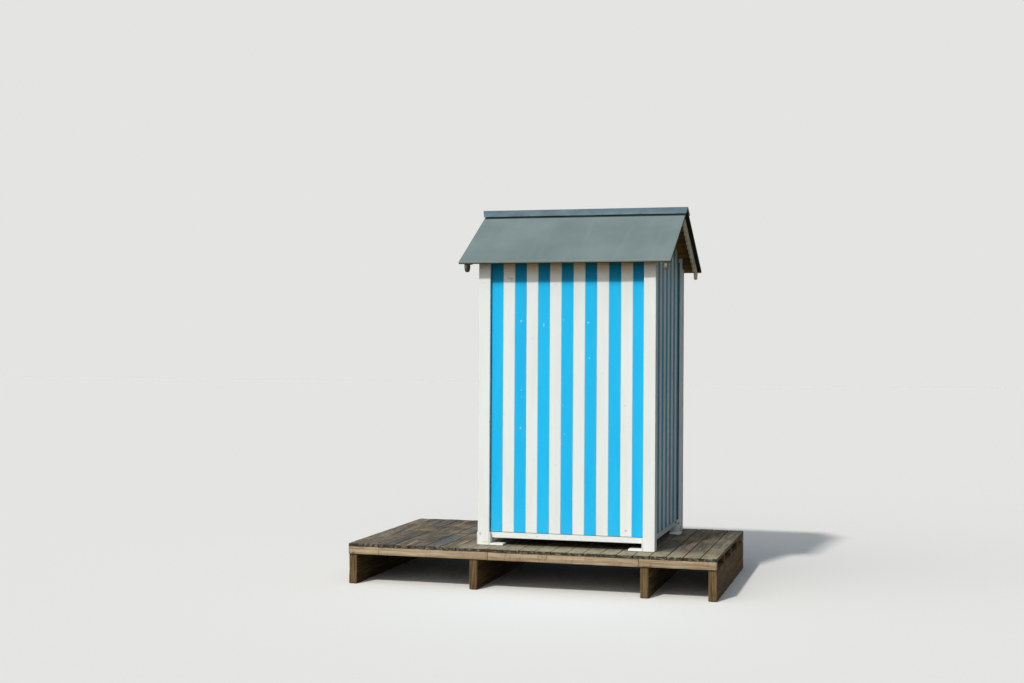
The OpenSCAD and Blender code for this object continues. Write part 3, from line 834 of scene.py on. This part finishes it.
timber_piece("bearer_front", "bearer_timber", bearer_row(bearer_ys[0], (0.138, 1.268), (0.35, 0.6, 0.2)))
timber_piece("bearer_back", "bearer_timber", bearer_row(bearer_ys[-1], (0.9,), (0.8, 0.5)))
piece("middle_bearer_timbers", "sleeper_timber", ["middle_bearers"],
      bearer_row(bearer_ys[1], (0.4,), (0.3, 0.7)), bearer_row(bearer_ys[2], (0.7,), (0.5, 0.9)),
      bearer_row(bearer_ys[3], (1.0,), (0.2, 0.6)))

# %% Deck boards
rng = np.random.default_rng(23)
deck_count, deck_gap, thinner = 23, 0.005, 0.002
short_front, short_back, lowest = 0.007, 0.012, 0.0018
joint_least, joint_uneven, joint_wider, wider_from = 0.0018, 0.001, 0.003, 14
board = np.arange(deck_count)
deck_pitch = (deck_hi[0] - deck_lo[0] + deck_gap) / deck_count
deck_x = deck_lo[0] + (board + 0.5) * deck_pitch - deck_gap / 2


def places(x, y, z):
    """Points in one list, from three coordinates that are numbers or arrays."""
    return np.stack(np.broadcast_arrays(x, y, z), -1).reshape(-1, 3)


trim = np.stack([rng.uniform(0, short_front, deck_count), rng.uniform(0, short_back, deck_count)])
drop = rng.uniform(0, lowest, deck_count)
joint = joint_least + joint_wider * np.clip((board - wider_from) / 4, 0, 1)
joint = joint + rng.uniform(0, joint_uneven, deck_count)
deck_start = places(deck_x, deck_lo[1] + trim[0], (deck_hi[2] + deck_lo[2]) / 2 - drop)
deck_size = places(deck_pitch - joint, deck_hi[2] - deck_lo[2] - thinner,
                   deck_hi[1] - deck_lo[1] - trim.sum(0))
deck = timbers(deck_start, (0, 1, 0), (-1, 0, 0), deck_size, edge=0.0025, steps=44, flats=(12, 2),
               tone=rng.uniform(0, 1, deck_count), smooth=True)
weathered(deck, rng, bow=0.0006, uneven=0.0007, fray=0.0012, cup=0.0009, ragged=0.007)
piece("deck_board_timbers", "deck_timber", ["deck_boards"], deck)

# %% Deck nails
nail_side, off_y, off_x, nail_sink = 0.036, 0.012, 0.006, 0.0021
nail_y = np.repeat(bearer_ys + bearer_w / 2, 2) + rng.uniform(-off_y, off_y, (deck_count, 10))
nail_x = np.tile([-nail_side, nail_side], 5) + rng.uniform(-off_x, off_x, (deck_count, 10)) + deck_x[:, None]
nails = places(nail_x, nail_y, deck_hi[2] - nail_sink - drop[:, None])
piece("deck_nails", "hinge_steel", [], nail_heads(nails, (0, 0, 1), radius=0.0045, height=0.0016),
      finishes=[nail_finish])

# %% [markdown]
# ## Posts, rails and cleats
#
# Four square posts carry the hut. Thin blocks sheathe their feet, rails run between them just above the
# deck, and flat cleats beside them hold the hut down. All of it has had more coats of white than the boards.
# Bolts and nails that hold the feet and the right rail have rusted.

# %% Posts and rails
rng = np.random.default_rng(31)
foot_out, block_in = 0.006, 0.002
post_steps = {"flats": (2, 2), "steps": 14}


def block(x0, x1):
    """Thin block on one side of the front left post's foot."""
    span = np.array([x0, block_in, 0]), np.array([x1, post_w - block_in, rail_top])
    return filling(span, 2, edge=0.0025, tone=rng.uniform(0, 1))


def post(outer_block):
    """Front left post cut to the roof, with the block on its foot, and one outside if outer_block is True."""
    timber = timbers((post_w / 2, post_w / 2, 0), (0, 0, 1), (1, 0, 0), (post_w, post_w, under(post_w)),
                     edge=0.004, tone=rng.uniform(0, 1), **post_steps)
    z = timber["xyz"][..., 2]
    timber["xyz"][..., 2] = z * under(timber["xyz"][..., 1]) / under(post_w)
    blocks = [block(post_w, post_w + foot_t)]
    return [timber, *blocks, *([block(-foot_out, 0)] if outer_block else [])]


for side_x, side_y in corners:
    parts = placed(post(side_x == "left"), side_x, side_y)
    timber_piece(f"post_{side_y}_{side_x}", "white_paint", parts)

for side, axis in (("front", 0), ("back", 0), ("left", 1), ("right", 1)):
    name = f"base_rail_{side}"
    timber_piece(name, "white_paint", filling(name, axis, edge=0.003, tone=rng.uniform(0, 1), **post_steps))

# %% Cleats beside the posts
cleat_l, cleat_t = 0.1, box("foot_cleats")[1][2] - box("foot_cleats")[0][2]
side_out, side_off = 0.025, 0.11
low = np.array([post_w + foot_t, 0, 0])
cleat = filling((low, low + (cleat_l, post_w, cleat_t)), 0, edge=0.003, steps=4, tone=0.4)
low = np.array([hut_l - post_w + side_out, hut_d - post_w - side_off - cleat_l, 0])
side_cleat = filling((low, low + (post_w, cleat_l, cleat_t)), 1, edge=0.003, steps=4, tone=0.7)
piece("foot_cleat_boards", "white_paint", ["foot_cleats"], cleat, mirrored(cleat, 0), mirrored(cleat, 1),
      side_cleat)

# %% Bolts and nails at the feet
foot_y, rail_face = hut_d - post_w, box("base_rail_right")[1][0]
bolt_in, bolt_z = 0.022, 0.066
nail_in, nail_zs = 0.008, (0.041, 0.024)
rail_bolt_off, rail_bolt_z = 0.075, 0.078
bolt_head = [(0.0075, -0.002), (0.0075, 0.002), (0.005, 0.0045), (0.002, 0.0052)]
foot_bolt = turned((hut_l - bolt_in, foot_y, bolt_z), (0, -1, 0), bolt_head, sides=12)
rail_bolt = turned((rail_face, foot_y - rail_bolt_off, rail_bolt_z), (1, 0, 0), bolt_head, sides=12)
foot_nails = nail_heads(places(hut_l - nail_in, foot_y, nail_zs), (0, -1, 0), height=0.002)
back_bolts = joined(foot_bolt, foot_nails, rail_bolt)
piece("foot_bolts", "hinge_steel", [], back_bolts, mirrored(back_bolts, 1), finishes=[nail_finish])

# %% [markdown]
# ## Floor and roof frame
#
# Joists and floor boards lie inside on the rails. Two wall plates and a ridge beam run the length of the hut
# and carry the roof out to the bargeboards. Their brown ends show under the roof at the gables.

# %% Joists and floor boards
rng = np.random.default_rng(37)
joist_half = 0.045 / 2
joists = []
for i in (1, 2):
    low, high = box("floor_joists")
    low[0], high[0] = hut_l * i / 3 - joist_half, hut_l * i / 3 + joist_half
    joists.append(filling((low, high), 1, edge=0.002, steps=8, tone=0.3 * i))
piece("floor_joist_timbers", "frame_timber", ["floor_joists"], joists)


def middles(edges):
    """Middles of the boards that lie between these edges."""
    return (edges[1:] + edges[:-1]) / 2


floor_lo, floor_hi = box("floor_boards")
floor_gap = 0.002
gable_ys = np.linspace(post_w, hut_d - post_w, board_count + 1)
floor_start = places(floor_lo[0], middles(gable_ys), (floor_lo[2] + floor_hi[2]) / 2)
floor_size = (board_w - floor_gap, floor_hi[2] - floor_lo[2], floor_hi[0] - floor_lo[0])
piece("floor_board_timbers", "frame_timber", ["floor_boards"],
      timbers(floor_start, (1, 0, 0), (0, 1, 0), floor_size, steps=6, tone=rng.uniform(0, 1, board_count)))

# %% Wall plates and ridge beam
beam_shape = {"edge": 0.003, "steps": 16, "flats": (2, 2)}
plate_in = np.array([0, 0.0015, 0])
for side in ("front", "back"):
    low, high = box(f"wall_plate_{side}")
    beam = filling((low + plate_in, high - plate_in), 0, tone=rng.uniform(0, 1), **beam_shape)
    share = (beam["xyz"][..., 2] - low[2]) / (high[2] - low[2])
    beam["xyz"][..., 2] = low[2] + share * (under(beam["xyz"][..., 1]) - low[2])
    timber_piece(f"wall_plate_{side}", "frame_timber", beam)
low, high = box("ridge_beam")
high[2] = under(low[1])
timber_piece("ridge_beam", "frame_timber", filling((low, high), 0, tone=0.6, **beam_shape))

# %% [markdown]
# ## Striped walls
#
# Each wall is thirteen upright boards, tongued together, each with the arrises of its face taken off. Where
# two of them meet the bevels make a V about 5 mm wide, and the painter's stripes change there, one board
# blue and the next one white. The tops are cut to the roof: each height is scaled by the room under the roof
# at that point. Nail heads are sunk and painted over, so they only dimple the light. A narrow dark bead
# in the corner between the last board and the post is painted shade, standing in for the shade of that
# corner.

# %% Wall boards
wall_edge, end_gap = 0.0026, 0.003
nail_rows, nail_side, nail_off = (0.135, 1.15, 2.12), 0.024, 0.004
wall_foot = rail_top + end_gap


def wall_boards(edges, facing, foot, first):
    """Upright boards between edges. facing is "eaves" for the front wall, "gable" for the left one.

    first is the first board's number among the thirteen: even ones are blue, odd ones white. Height over the
    foot = share x (roof underside - foot).
    """
    n, middle = len(edges) - 1, middles(edges)
    order = [0, 1, 2] if facing == "eaves" else [1, 0, 2]
    start = places(middle, (wall_face + wall_back) / 2, foot)[:, order]
    rise = under(ridge_y) - foot
    paint = (first + np.arange(n)) % 2
    boards = timbers(start, (0, 0, 1), np.eye(3)[order[0]], places(np.diff(edges), board_t, rise),
                     edge=wall_edge, steps=12, flats=(2, 1), tone=rng.uniform(0, 1, n), paint=paint)
    xyz = boards["xyz"]
    xyz[..., 2] = foot + (xyz[..., 2] - foot) * (under(xyz[..., 1]) - foot) / rise
    rows = [z for z in nail_rows if z > foot]
    off = rng.uniform(-nail_off, nail_off, (n, 2 * len(rows), 2))
    beside = middle[:, None] + np.repeat([-nail_side, nail_side], len(rows)) + off[..., 0]
    heads = places(beside, wall_face, np.tile(rows, 2) + off[..., 1])[:, order]
    nails = nail_heads(heads, -np.eye(3)[order[1]], radius=0.0032, height=0.0006,
                       paint=np.repeat(paint, 2 * len(rows)))
    return [boards, nails]


def wall(name, replaced, edges, facing, foot, first, blue, side_x="left", side_y="front"):
    """A wall of blue and white boards, on the side of the hut that is named."""
    boards = placed(wall_boards(edges, facing, foot, first), side_x, side_y)
    piece(name, "striped_boards", [replaced], boards, finishes=[blue, white_paint])


rng = np.random.default_rng(41)
# Joints of the long walls in millimetres from the corner: the boards are nearly, but not quite, alike.
wall_xs = np.array([90, 184, 275.5, 365, 455, 545, 635, 725, 815, 904, 995, 1085, 1174, 1260]) / 1000
wall("front_wall_boards", "front_wall", wall_xs, "eaves", wall_foot, 0, blue_paint)
wall("back_wall_boards", "back_wall", wall_xs, "eaves", wall_foot, 0, shaded_wall_blue, side_y="back")
wall("right_gable_boards", "right_gable_wall", gable_ys, "gable", wall_foot, 0, shaded_wall_blue, side_x="right")

# %% Beads beside the posts, dark strips of painted shade in the corners
bead_w, bead_in, bead_out, bead_short = 0.007, 0.0005, 0.001, 0.004
beads = []
for order, reach in (([0, 1, 2], 0.004), ([1, 0, 2], 0.012)):
    low = np.array([post_w - bead_in, wall_face - bead_w, wall_foot])
    high = np.array([post_w + reach, wall_face + bead_out, under(wall_face) - bead_short])
    bead = filling((low[order], high[order]), 2, edge=0.0018, steps=6)
    beads += [placed(bead, *sides) for sides in corners]
piece("corner_shade_beads", "striped_boards", [], *beads, finishes=[corner_shade_blue])

# %% Left wall beside and over the door
beside, above = 2, box("door_head")[1][2] + end_gap
for part, edges, foot, first in (("beside_latch", gable_ys[:beside + 1], wall_foot, 0),
                                 ("beside_hinges", gable_ys[-beside - 1:], wall_foot, board_count - beside),
                                 ("over_door", gable_ys[beside:-beside], above, beside)):
    wall(f"left_wall_boards_{part}", f"left_wall_{part}", edges, "gable", foot, first, door_blue)

# %% [markdown]
# ## The door
#
# The photograph doesn't show the door, so it is the plain one that such a cabin has: a boarded leaf with
# three ledges and two braces inside, hung on strap hinges with a hasp over a staple. The leaf goes on with
# the stripes of the wall.

# %% Jambs, head and leaf
rng = np.random.default_rng(43)
for name, axis in (("door_jamb_latch_side", 2), ("door_jamb_hinge_side", 2), ("door_head", 1)):
    timber_piece(name, "white_paint",
                 filling(name, axis, edge=0.003, steps=12, flats=(2, 2), tone=rng.uniform(0, 1)))

door_lo, door_hi = box("door_leaf")
head_lo, head_hi = box("door_head")
leaf_count, leaf_h = 8, door_hi[2] - door_lo[2]
leaf_ys = np.linspace(door_lo[1], door_hi[1], leaf_count + 1)
leaf = timbers(places(door_face + board_t / 2, middles(leaf_ys), door_lo[2]), (0, 0, 1), (0, 1, 0),
               (leaf_ys[1] - leaf_ys[0], board_t, leaf_h), edge=wall_edge, steps=12,
               tone=rng.uniform(0, 1, leaf_count), paint=np.arange(leaf_count) % 2)
ledge_in, ledge_w, brace_w = 0.22, 0.095, 0.11
jamb_w = head_hi[2] - head_lo[2]
inner_face = door_face + board_t
ledge_t = door_hi[0] - inner_face
ledge_y0, ledge_y1 = door_lo[1] + jamb_w, door_hi[1] - jamb_w
ledge_zs = np.array([ledge_in, leaf_h / 2, leaf_h - ledge_in]) + door_lo[2]
ledges = timbers(places(inner_face + ledge_t / 2, ledge_y0, ledge_zs), (0, 1, 0), (0, 0, 1),
                 (ledge_w, ledge_t, ledge_y1 - ledge_y0), edge=0.003, tone=0.4, paint=1)


def brace(z0, z1):
    """Brace from z0 at the hinge side up to z1 at the latch side, as an outline carried along X."""
    outline = [[ledge_y1 - brace_w, z0], [ledge_y1, z0], [ledge_y0 + brace_w, z1], [ledge_y0, z1]]
    return carried(np.array(outline), inner_face, ledge_t, edge=0.002, paint=1)


braces = [brace(ledge_zs[i] + ledge_w / 2, ledge_zs[i + 1] - ledge_w / 2) for i in (0, 1)]
piece("door_leaf_boards", "striped_boards", ["door_leaf"], leaf, ledges, braces,
      finishes=[door_blue, white_paint])

# %% Strap hinges
strap_w, strap_t, strap_l, strap_edge = 0.04, 0.004, 0.32, 0.0008
strap_face = door_face - strap_t
knuckle_y, knuckle_r, knuckle_edge, knuckle_parts = door_hi[1] + 0.0015, 0.006, 0.001, 3
screw_ys = knuckle_y + np.array([-0.05, -0.12, -0.19, -0.26, 0.022])


def strap_outline(z):
    """Strap seen from outside: tapered sides from the knuckle, a half circle at the tip, a plate behind."""
    turn = np.linspace(-np.pi / 2, -3 * np.pi / 2, 9)
    tip_r, half_w, plate_y = strap_w / 4, strap_w / 2, knuckle_y + jamb_w - 0.008
    tip = np.stack([knuckle_y - strap_l + tip_r + tip_r * np.cos(turn), z + tip_r * np.sin(turn)], -1)
    root = [[knuckle_y, z + half_w], [plate_y, z + half_w], [plate_y, z - half_w], [knuckle_y, z - half_w]]
    return np.concatenate([tip, root])


def hinge(z):
    """Strap, plate, three-part knuckle and domed screws."""
    parts = [carried(strap_outline(z), strap_face, strap_t, edge=strap_edge)]
    for i in range(knuckle_parts):
        z0 = z - strap_w / 2 + i * strap_w / knuckle_parts
        z1 = z - strap_w / 2 + (i + 1) * strap_w / knuckle_parts - strap_edge
        worn_r = knuckle_r - knuckle_edge
        profile = [(worn_r, z0), (knuckle_r, z0 + knuckle_edge), (knuckle_r, z1 - knuckle_edge), (worn_r, z1)]
        parts.append(turned((strap_face, knuckle_y, 0), (0, 0, 1), profile, sides=16))
    screws = nail_heads(places(strap_face, screw_ys, z), (-1, 0, 0), radius=0.0045, height=0.0018)
    return [*parts, screws]


piece("door_strap_hinges", "hinge_steel", ["door_hinges"], hinge(door_lo[2] + ledge_in),
      hinge(door_hi[2] - ledge_in))

# %% Hasp and staple
latch_lo, latch_hi = box("door_latch")
latch_z = (latch_lo[2] + latch_hi[2]) / 2
leaf_plate = (door_lo[1] + strap_t, latch_hi[1])
jamb_plate = (latch_lo[1], door_lo[1] - 0.003 - strap_t)
staple_out, staple_up, staple_r = 0.016, 0.012, 0.0025


def plate(y0, y1):
    """Flat plate with a small radius on its corners, on the face of the door side."""
    turn = (np.arange(4)[:, None] + np.linspace(0, 1, 4)) * np.pi / 2
    r = 0.004
    middle = np.array([(y1 - y0) / 2 - r, strap_w / 2 - r]) * [[1, 1], [-1, 1], [-1, -1], [1, -1]]
    outline = middle[:, None] + r * np.stack([np.cos(turn), np.sin(turn)], -1)
    return carried(outline.reshape(-1, 2) + ((y0 + y1) / 2, latch_z), strap_face, strap_t, edge=strap_edge)


def staple():
    """Half ellipse of round wire: the centre goes by (-out sin t, 0, up cos t), with a ring round it."""
    t, ring = np.linspace(0, np.pi, 13), np.arange(8)[:, None] * np.pi / 4
    outward = places(-np.sin(t), 0, np.cos(t))[:, None]
    centre = outward * (staple_out, 0, staple_up) + (strap_face, sum(jamb_plate) / 2, latch_z)
    xyz = centre + staple_r * (np.cos(ring) * outward + np.sin(ring) * np.array([0, 1, 0]))
    return grid(xyz[None], xyz[None], np.full((1, 3), staple_r))


screw_in, screw_up = 0.012, 0.013
plate_ys = (leaf_plate[0] + screw_in, leaf_plate[1] - screw_in, sum(jamb_plate) / 2)
plate_screws = places(strap_face, np.repeat(plate_ys, 2), latch_z + np.tile([-screw_up, screw_up], 3))
piece("door_hasp_and_staple", "hinge_steel", ["door_latch"], plate(*leaf_plate), plate(*jamb_plate), staple(),
      nail_heads(plate_screws, (-1, 0, 0), radius=0.003, height=0.0014))

# %% [markdown]
# ## The roof
#
# Each slope is nine boards that run along the hut and reach past the gables, brown below and bleached at the
# eaves. A thin sheet lies over them with a slight waviness, as it has sagged between the nails. On the back
# slope the boards run the other way, which keeps the face of the section upwards without mirroring.

# %% Roof boards and sheet
rng = np.random.default_rng(53)
roof_l = hut_l + 2 * gable_over
roof_rows, row_gap, sag_depth, sag_fade = 9, 0.0006, 0.0009, 0.06
row_w = rake_l / roof_rows
slope_ways = {"front": ((1, 0, 0), (0, slope_c, slope_s)), "back": ((-1, 0, 0), (0, -slope_c, slope_s))}


def on_slope(side, rise, lift):
    """Start of a timber on a slope, rise up the rake from the eaves and lift off the roof's underside.

    y = rise cos - lift sin and z = rise sin + lift cos from the eaves. Timbers of the front slope start at
    the left gable, those of the back slope at the right one.
    """
    y = -eaves_over + rise * slope_c - lift * slope_s
    z = eaves_h + rise * slope_s + lift * slope_c
    x = -gable_over if side == "front" else hut_l + gable_over
    return np.array([x, y if side == "front" else hut_d - y, z])


for side, (along, across) in slope_ways.items():
    starts = np.array([on_slope(side, (i + 0.5) * row_w, roof_board_t / 2) for i in range(roof_rows)])
    boards = timbers(starts, along, across, (row_w - row_gap, roof_board_t, roof_l), steps=12,
                     tone=rng.uniform(0, 1, roof_rows))
    piece(f"roof_board_timbers_{side}", "roof_timber", [f"roof_boards_{side}"], boards)
    sheet = timbers(on_slope(side, rake_l / 2, roof_board_t + cover_t / 2), along, across,
                    (rake_l, cover_t, roof_l), edge=0.0012, steps=60, flats=(34, 1), tone=0.3, smooth=True)
    a, s = sheet["local"][..., 0], sheet["local"][..., 2]
    sag = waves(s + a * 0.3, (1, 1, 1), 0.55, rng) * waves(a, (1, 1, 1), 0.4, rng) * sag_depth
    sag = sag * np.clip((rake_l / 2 - np.abs(a)) / sag_fade, 0, 1)
    sheet["xyz"] = sheet["xyz"] + sag[..., None] * np.cross(along, across)
    piece(f"roof_sheet_{side}", "roof_covering", [f"roof_covering_{side}"], sheet)

# %% [markdown]
# ## The ridge
#
# Two battens lift the folded zinc cap off the sheet, which leaves the dark line under its lower edge; the
# roofing sheet adds a strip of painted shade there. The cap is one thin sheet bent along a path: up one
# slope, round a small radius at the top, down the other.
# Its left end was cut to a point by hand, so x moves out as a point nears the ridge.

# %% Ridge battens
batten_w, batten_t = 0.09, 0.008
batten_at = rake_l - batten_w / 2, roof_board_t + cover_t + batten_t / 2
battens = [timbers(on_slope(side, *batten_at), *ways, (batten_w, batten_t, roof_l), edge=0.0015, steps=12,
                   tone=0.5) for side, ways in slope_ways.items()]
piece("ridge_batten_timbers", "frame_timber", ["ridge_battens"], battens)

# %% Outline of the folded cap
cap_w, cap_t, cap_over_left, cap_point, cap_over_right, fold_r = 0.12, 0.003, 0.007, 0.035, 0.005, 0.008
cap_lift = roof_board_t + cover_t + batten_t + cap_t / 2


def cap_outline():
    """Outline of the folded sheet: a path with an arc at the fold, offset to both sides by half of cap_t."""
    foot = cap_w - fold_r * math.tan(pitch)
    down = foot - np.append(0, np.linspace(0.002, foot, 7))
    bend = np.linspace(-pitch, pitch, 9)[1:-1]
    arc_z = under(ridge_y) + (cap_lift - fold_r) / slope_c
    left = np.stack([ridge_y - fold_r * slope_s - down * slope_c,
                     arc_z + fold_r * slope_c - down * slope_s], -1)
    arc = np.stack([ridge_y + fold_r * np.sin(bend), arc_z + fold_r * np.cos(bend)], -1)
    path = np.concatenate([left, arc, left[::-1] * (-1, 1) + (2 * ridge_y, 0)])
    way = unit(np.gradient(path, axis=0))
    off = np.stack([-way[:, 1], way[:, 0]], -1) * cap_t / 2
    return np.concatenate([path + off, (path - off)[::-1]])


print("the cap's outline has", len(cap_outline()), "points")

# %% Ridge cap with its screws
cap_screw = [(0.008, -0.001), (0.008, 0.001), (0.0045, 0.0012), (0.0045, 0.003), (0.003, 0.004)]
screw_count, screw_edge, screw_end, dent_depth = 6, 0.024, 0.06, 0.0008
cap_x0, cap_x1 = -gable_over - cap_over_left, hut_l + gable_over + cap_over_right
cap = carried(cap_outline(), cap_x0, cap_x1 - cap_x0, edge=0.001, steps=40)
x, y = cap["xyz"][..., 0], cap["xyz"][..., 1]
to_ridge = np.clip(1 - np.abs(y - ridge_y) / (cap_w * slope_c), 0, 1)
to_left = (cap_x1 - x) / (cap_x1 - cap_x0)
dents = waves(x, (1, 1, 1), 0.7, rng) * dent_depth * (1 - to_ridge)
cap["xyz"] = cap["xyz"] + np.stack([-cap_point * to_ridge * to_left, 0 * dents, dents], -1)
cap_screws = []
for side, ways in slope_ways.items():
    seat = on_slope(side, rake_l - cap_w + screw_edge, cap_lift + cap_t / 2)
    spots = places(np.linspace(cap_x0 + screw_end, cap_x1 - screw_end, screw_count), *seat[1:])
    cap_screws.append(turned(spots, np.cross(*ways), cap_screw, sides=12))
piece("ridge_cap_sheet", "ridge_metal", ["ridge_cap"], cap, cap_screws)

# %% [markdown]
# ## Scalloped bargeboards
#
# The bargeboard is the hut's only ornament: a row of shallow arcs cut with a bow saw, and a round drop at
# the foot. Its outline is written as arcs in the plane of the gable, and carried through the thickness of the
# board with softened rims. The grain follows the rake, so the place on the timber is measured along it. The
# boards at the left gable are toned dark as painted shade, and those at the right gable pale as painted
# light.

# %% Outline of a bargeboard
barge_t, barge_d, scallop_h, scallop_count = 0.02, 0.075, 0.026, 12
drop_w, drop_in, drop_side = 0.094, 0.01, 0.01
scallop_from = (drop_in + drop_w) / slope_c
scallop_w = (rake_l - scallop_from) / scallop_count
scallop_r = (scallop_w ** 2 / 4 + scallop_h ** 2) / (2 * scallop_h)


def barge_outline():
    """Round drop, straight lower edge, arcs along the rake, and the cut at the ridge.

    On the rake u runs up from the eaves and v off the underside: y = u cos - v sin, z = u sin + v cos.
    An arc of radius r over a chord w has the height h = r - root(r^2 - w^2 / 4).
    """
    y0, z0 = drop_in - eaves_over, eaves_h - drop_side
    turn = np.linspace(np.pi, 2 * np.pi, 19)
    drop_arc = np.stack([y0 + drop_w / 2 + drop_w / 2 * np.cos(turn), z0 + drop_w / 2 * np.sin(turn)], -1)
    share = np.linspace(-0.5, 0.5, 9)[:-1] * scallop_w
    u = (scallop_from + (np.arange(scallop_count)[:, None] + 0.5) * scallop_w + share).ravel()
    v = np.tile(scallop_r - barge_d - np.sqrt(scallop_r ** 2 - share ** 2), scallop_count)
    u = np.append(scallop_from - (barge_d - scallop_h) * slope_s / slope_c, u)
    v = np.append(scallop_h - barge_d, v)
    rake = np.stack([u * slope_c - v * slope_s - eaves_over, u * slope_s + v * slope_c + eaves_h], -1)
    last = np.interp(ridge_y, rake[:, 0], rake[:, 1])
    rake = rake[rake[:, 0] < ridge_y - 0.001]
    return np.concatenate([drop_arc, rake, [[ridge_y, last], [ridge_y, under(ridge_y)], [y0, under(y0)]]])


print("a bargeboard's outline has", len(barge_outline()), "points")


# %% Bargeboards
def along_rake(xyz):
    """Place on the timber: across the board, through it and along the rake."""
    y, z = xyz[..., 1] + eaves_over, xyz[..., 2] - eaves_h
    u, v = y * slope_c + z * slope_s, z * slope_c - y * slope_s
    return np.stack([v + barge_d / 2, xyz[..., 0] - xyz[..., 0].mean(), u - rake_l / 2], -1)


rng = np.random.default_rng(61)
# Painted light and shade: each side's tones make the left boards dark and the right ones pale.
for side_x, inset, pale in (("left", 0.04, (0.0, 0.1)), ("right", 0.03, (0.4, 0.88))):
    for side_y, least in zip(("front", "back"), pale):
        barge = carried(barge_outline(), inset - gable_over, barge_t, edge=0.0022, place_on=along_rake)
        barge = placed(barge, side_x, side_y)
        barge[0]["tone"] = np.array([least + rng.uniform(0, 0.1)])
        timber_piece(f"bargeboard_{side_x}_{side_y}", "barge_timber", barge)

# %% [markdown]
# ## Light and floor
#
# The photograph has a high sun from the front left, so the studio copies it with one lamp that is soft
# enough to blur the edge of the eaves' shadow a little. The sky is bright round the sun and faint elsewhere,
# a little bluer on the right, which models the shaded gable. The floor is plain and pale. To the camera it
# is as light as the backdrop, while to the light that bounces off it it is darker, like sand, so that the
# shade keeps its depth.

# %% Lamp
sun = in_scene("sun", bpy.data.lights.new("sun", "SUN"))
sun.data.energy = 2.15
sun.data.angle = math.radians(3.5)
sunshine_way = Vector((0.33, 1.0, -0.95))
sun.rotation_euler = sunshine_way.to_track_quat("-Z", "Y").to_euler()
print("sun", sun.data.energy, "with an angle of", round(math.degrees(sun.data.angle), 1), "degrees")


# %% Sky
def seen_rays(tree):
    """1 for rays by which the camera, a shiny surface or glass sees the studio, 0 for light that bounces."""
    ray = node(tree, "ShaderNodeLightPath").outputs
    seen = number("MAXIMUM", ray["Is Camera Ray"], ray["Is Glossy Ray"])
    return number("MAXIMUM", seen, ray["Is Transmission Ray"])


sky_light, sun_glow, side_glow = 0.09, 1.25, 0.08
to_sun, to_side = (-0.291, -0.814, 0.503), (0.8, 0.5, 0.332)
world = bpy.data.worlds.new("studio")
world.use_nodes = True
bpy.context.scene.world = world
tree = world.node_tree
tree.nodes.clear()
way = node(tree, "ShaderNodeTexCoord").outputs["Generated"]
glow = mask(vector("DOT_PRODUCT", way, to_sun, output=1), 0.3, 1.0)
beside = mask(vector("DOT_PRODUCT", way, to_side, output=1), 0.2, 1.0)
light = number("MULTIPLY_ADD", beside, side_glow, number("MULTIPLY_ADD", glow, sun_glow, sky_light))
tint = over(over("#C2DAF8", "#9CC6FA", beside), "#F4F5F4", glow)
sky = node(tree, "ShaderNodeBackground", {"Color": tint, "Strength": light}).outputs[0]
backdrop = node(tree, "ShaderNodeBackground", {"Color": linear("#E4E4E2"), "Strength": 1.0}).outputs[0]
studio = node(tree, "ShaderNodeMixShader", {0: seen_rays(tree), 1: sky, 2: backdrop}).outputs[0]
node(tree, "ShaderNodeOutputWorld", {0: studio})
print("sky from", sky_light, "to", sky_light + sun_glow)

# %% Floor
floor_half = 60.0
floor_mesh = bpy.data.meshes.new("floor")
floor_corners = [(x * floor_half, y * floor_half, 0) for x, y in ((-1, -1), (1, -1), (1, 1), (-1, 1))]
floor_mesh.from_pydata(floor_corners, [], [(0, 1, 2, 3)])
studio_floor = in_scene("studio_floor", floor_mesh)
material, tree = principled("studio_floor", Roughness=1.0, Specular_IOR_Level=0.0)
floor_mesh.materials.append(finished(material, over("#766C53", "#F8F4EC", seen_rays(tree))))
bpy.context.scene.view_settings.view_transform = "Standard"
print("floor", 2 * floor_half, "m wide, view", bpy.context.scene.view_settings.view_transform)
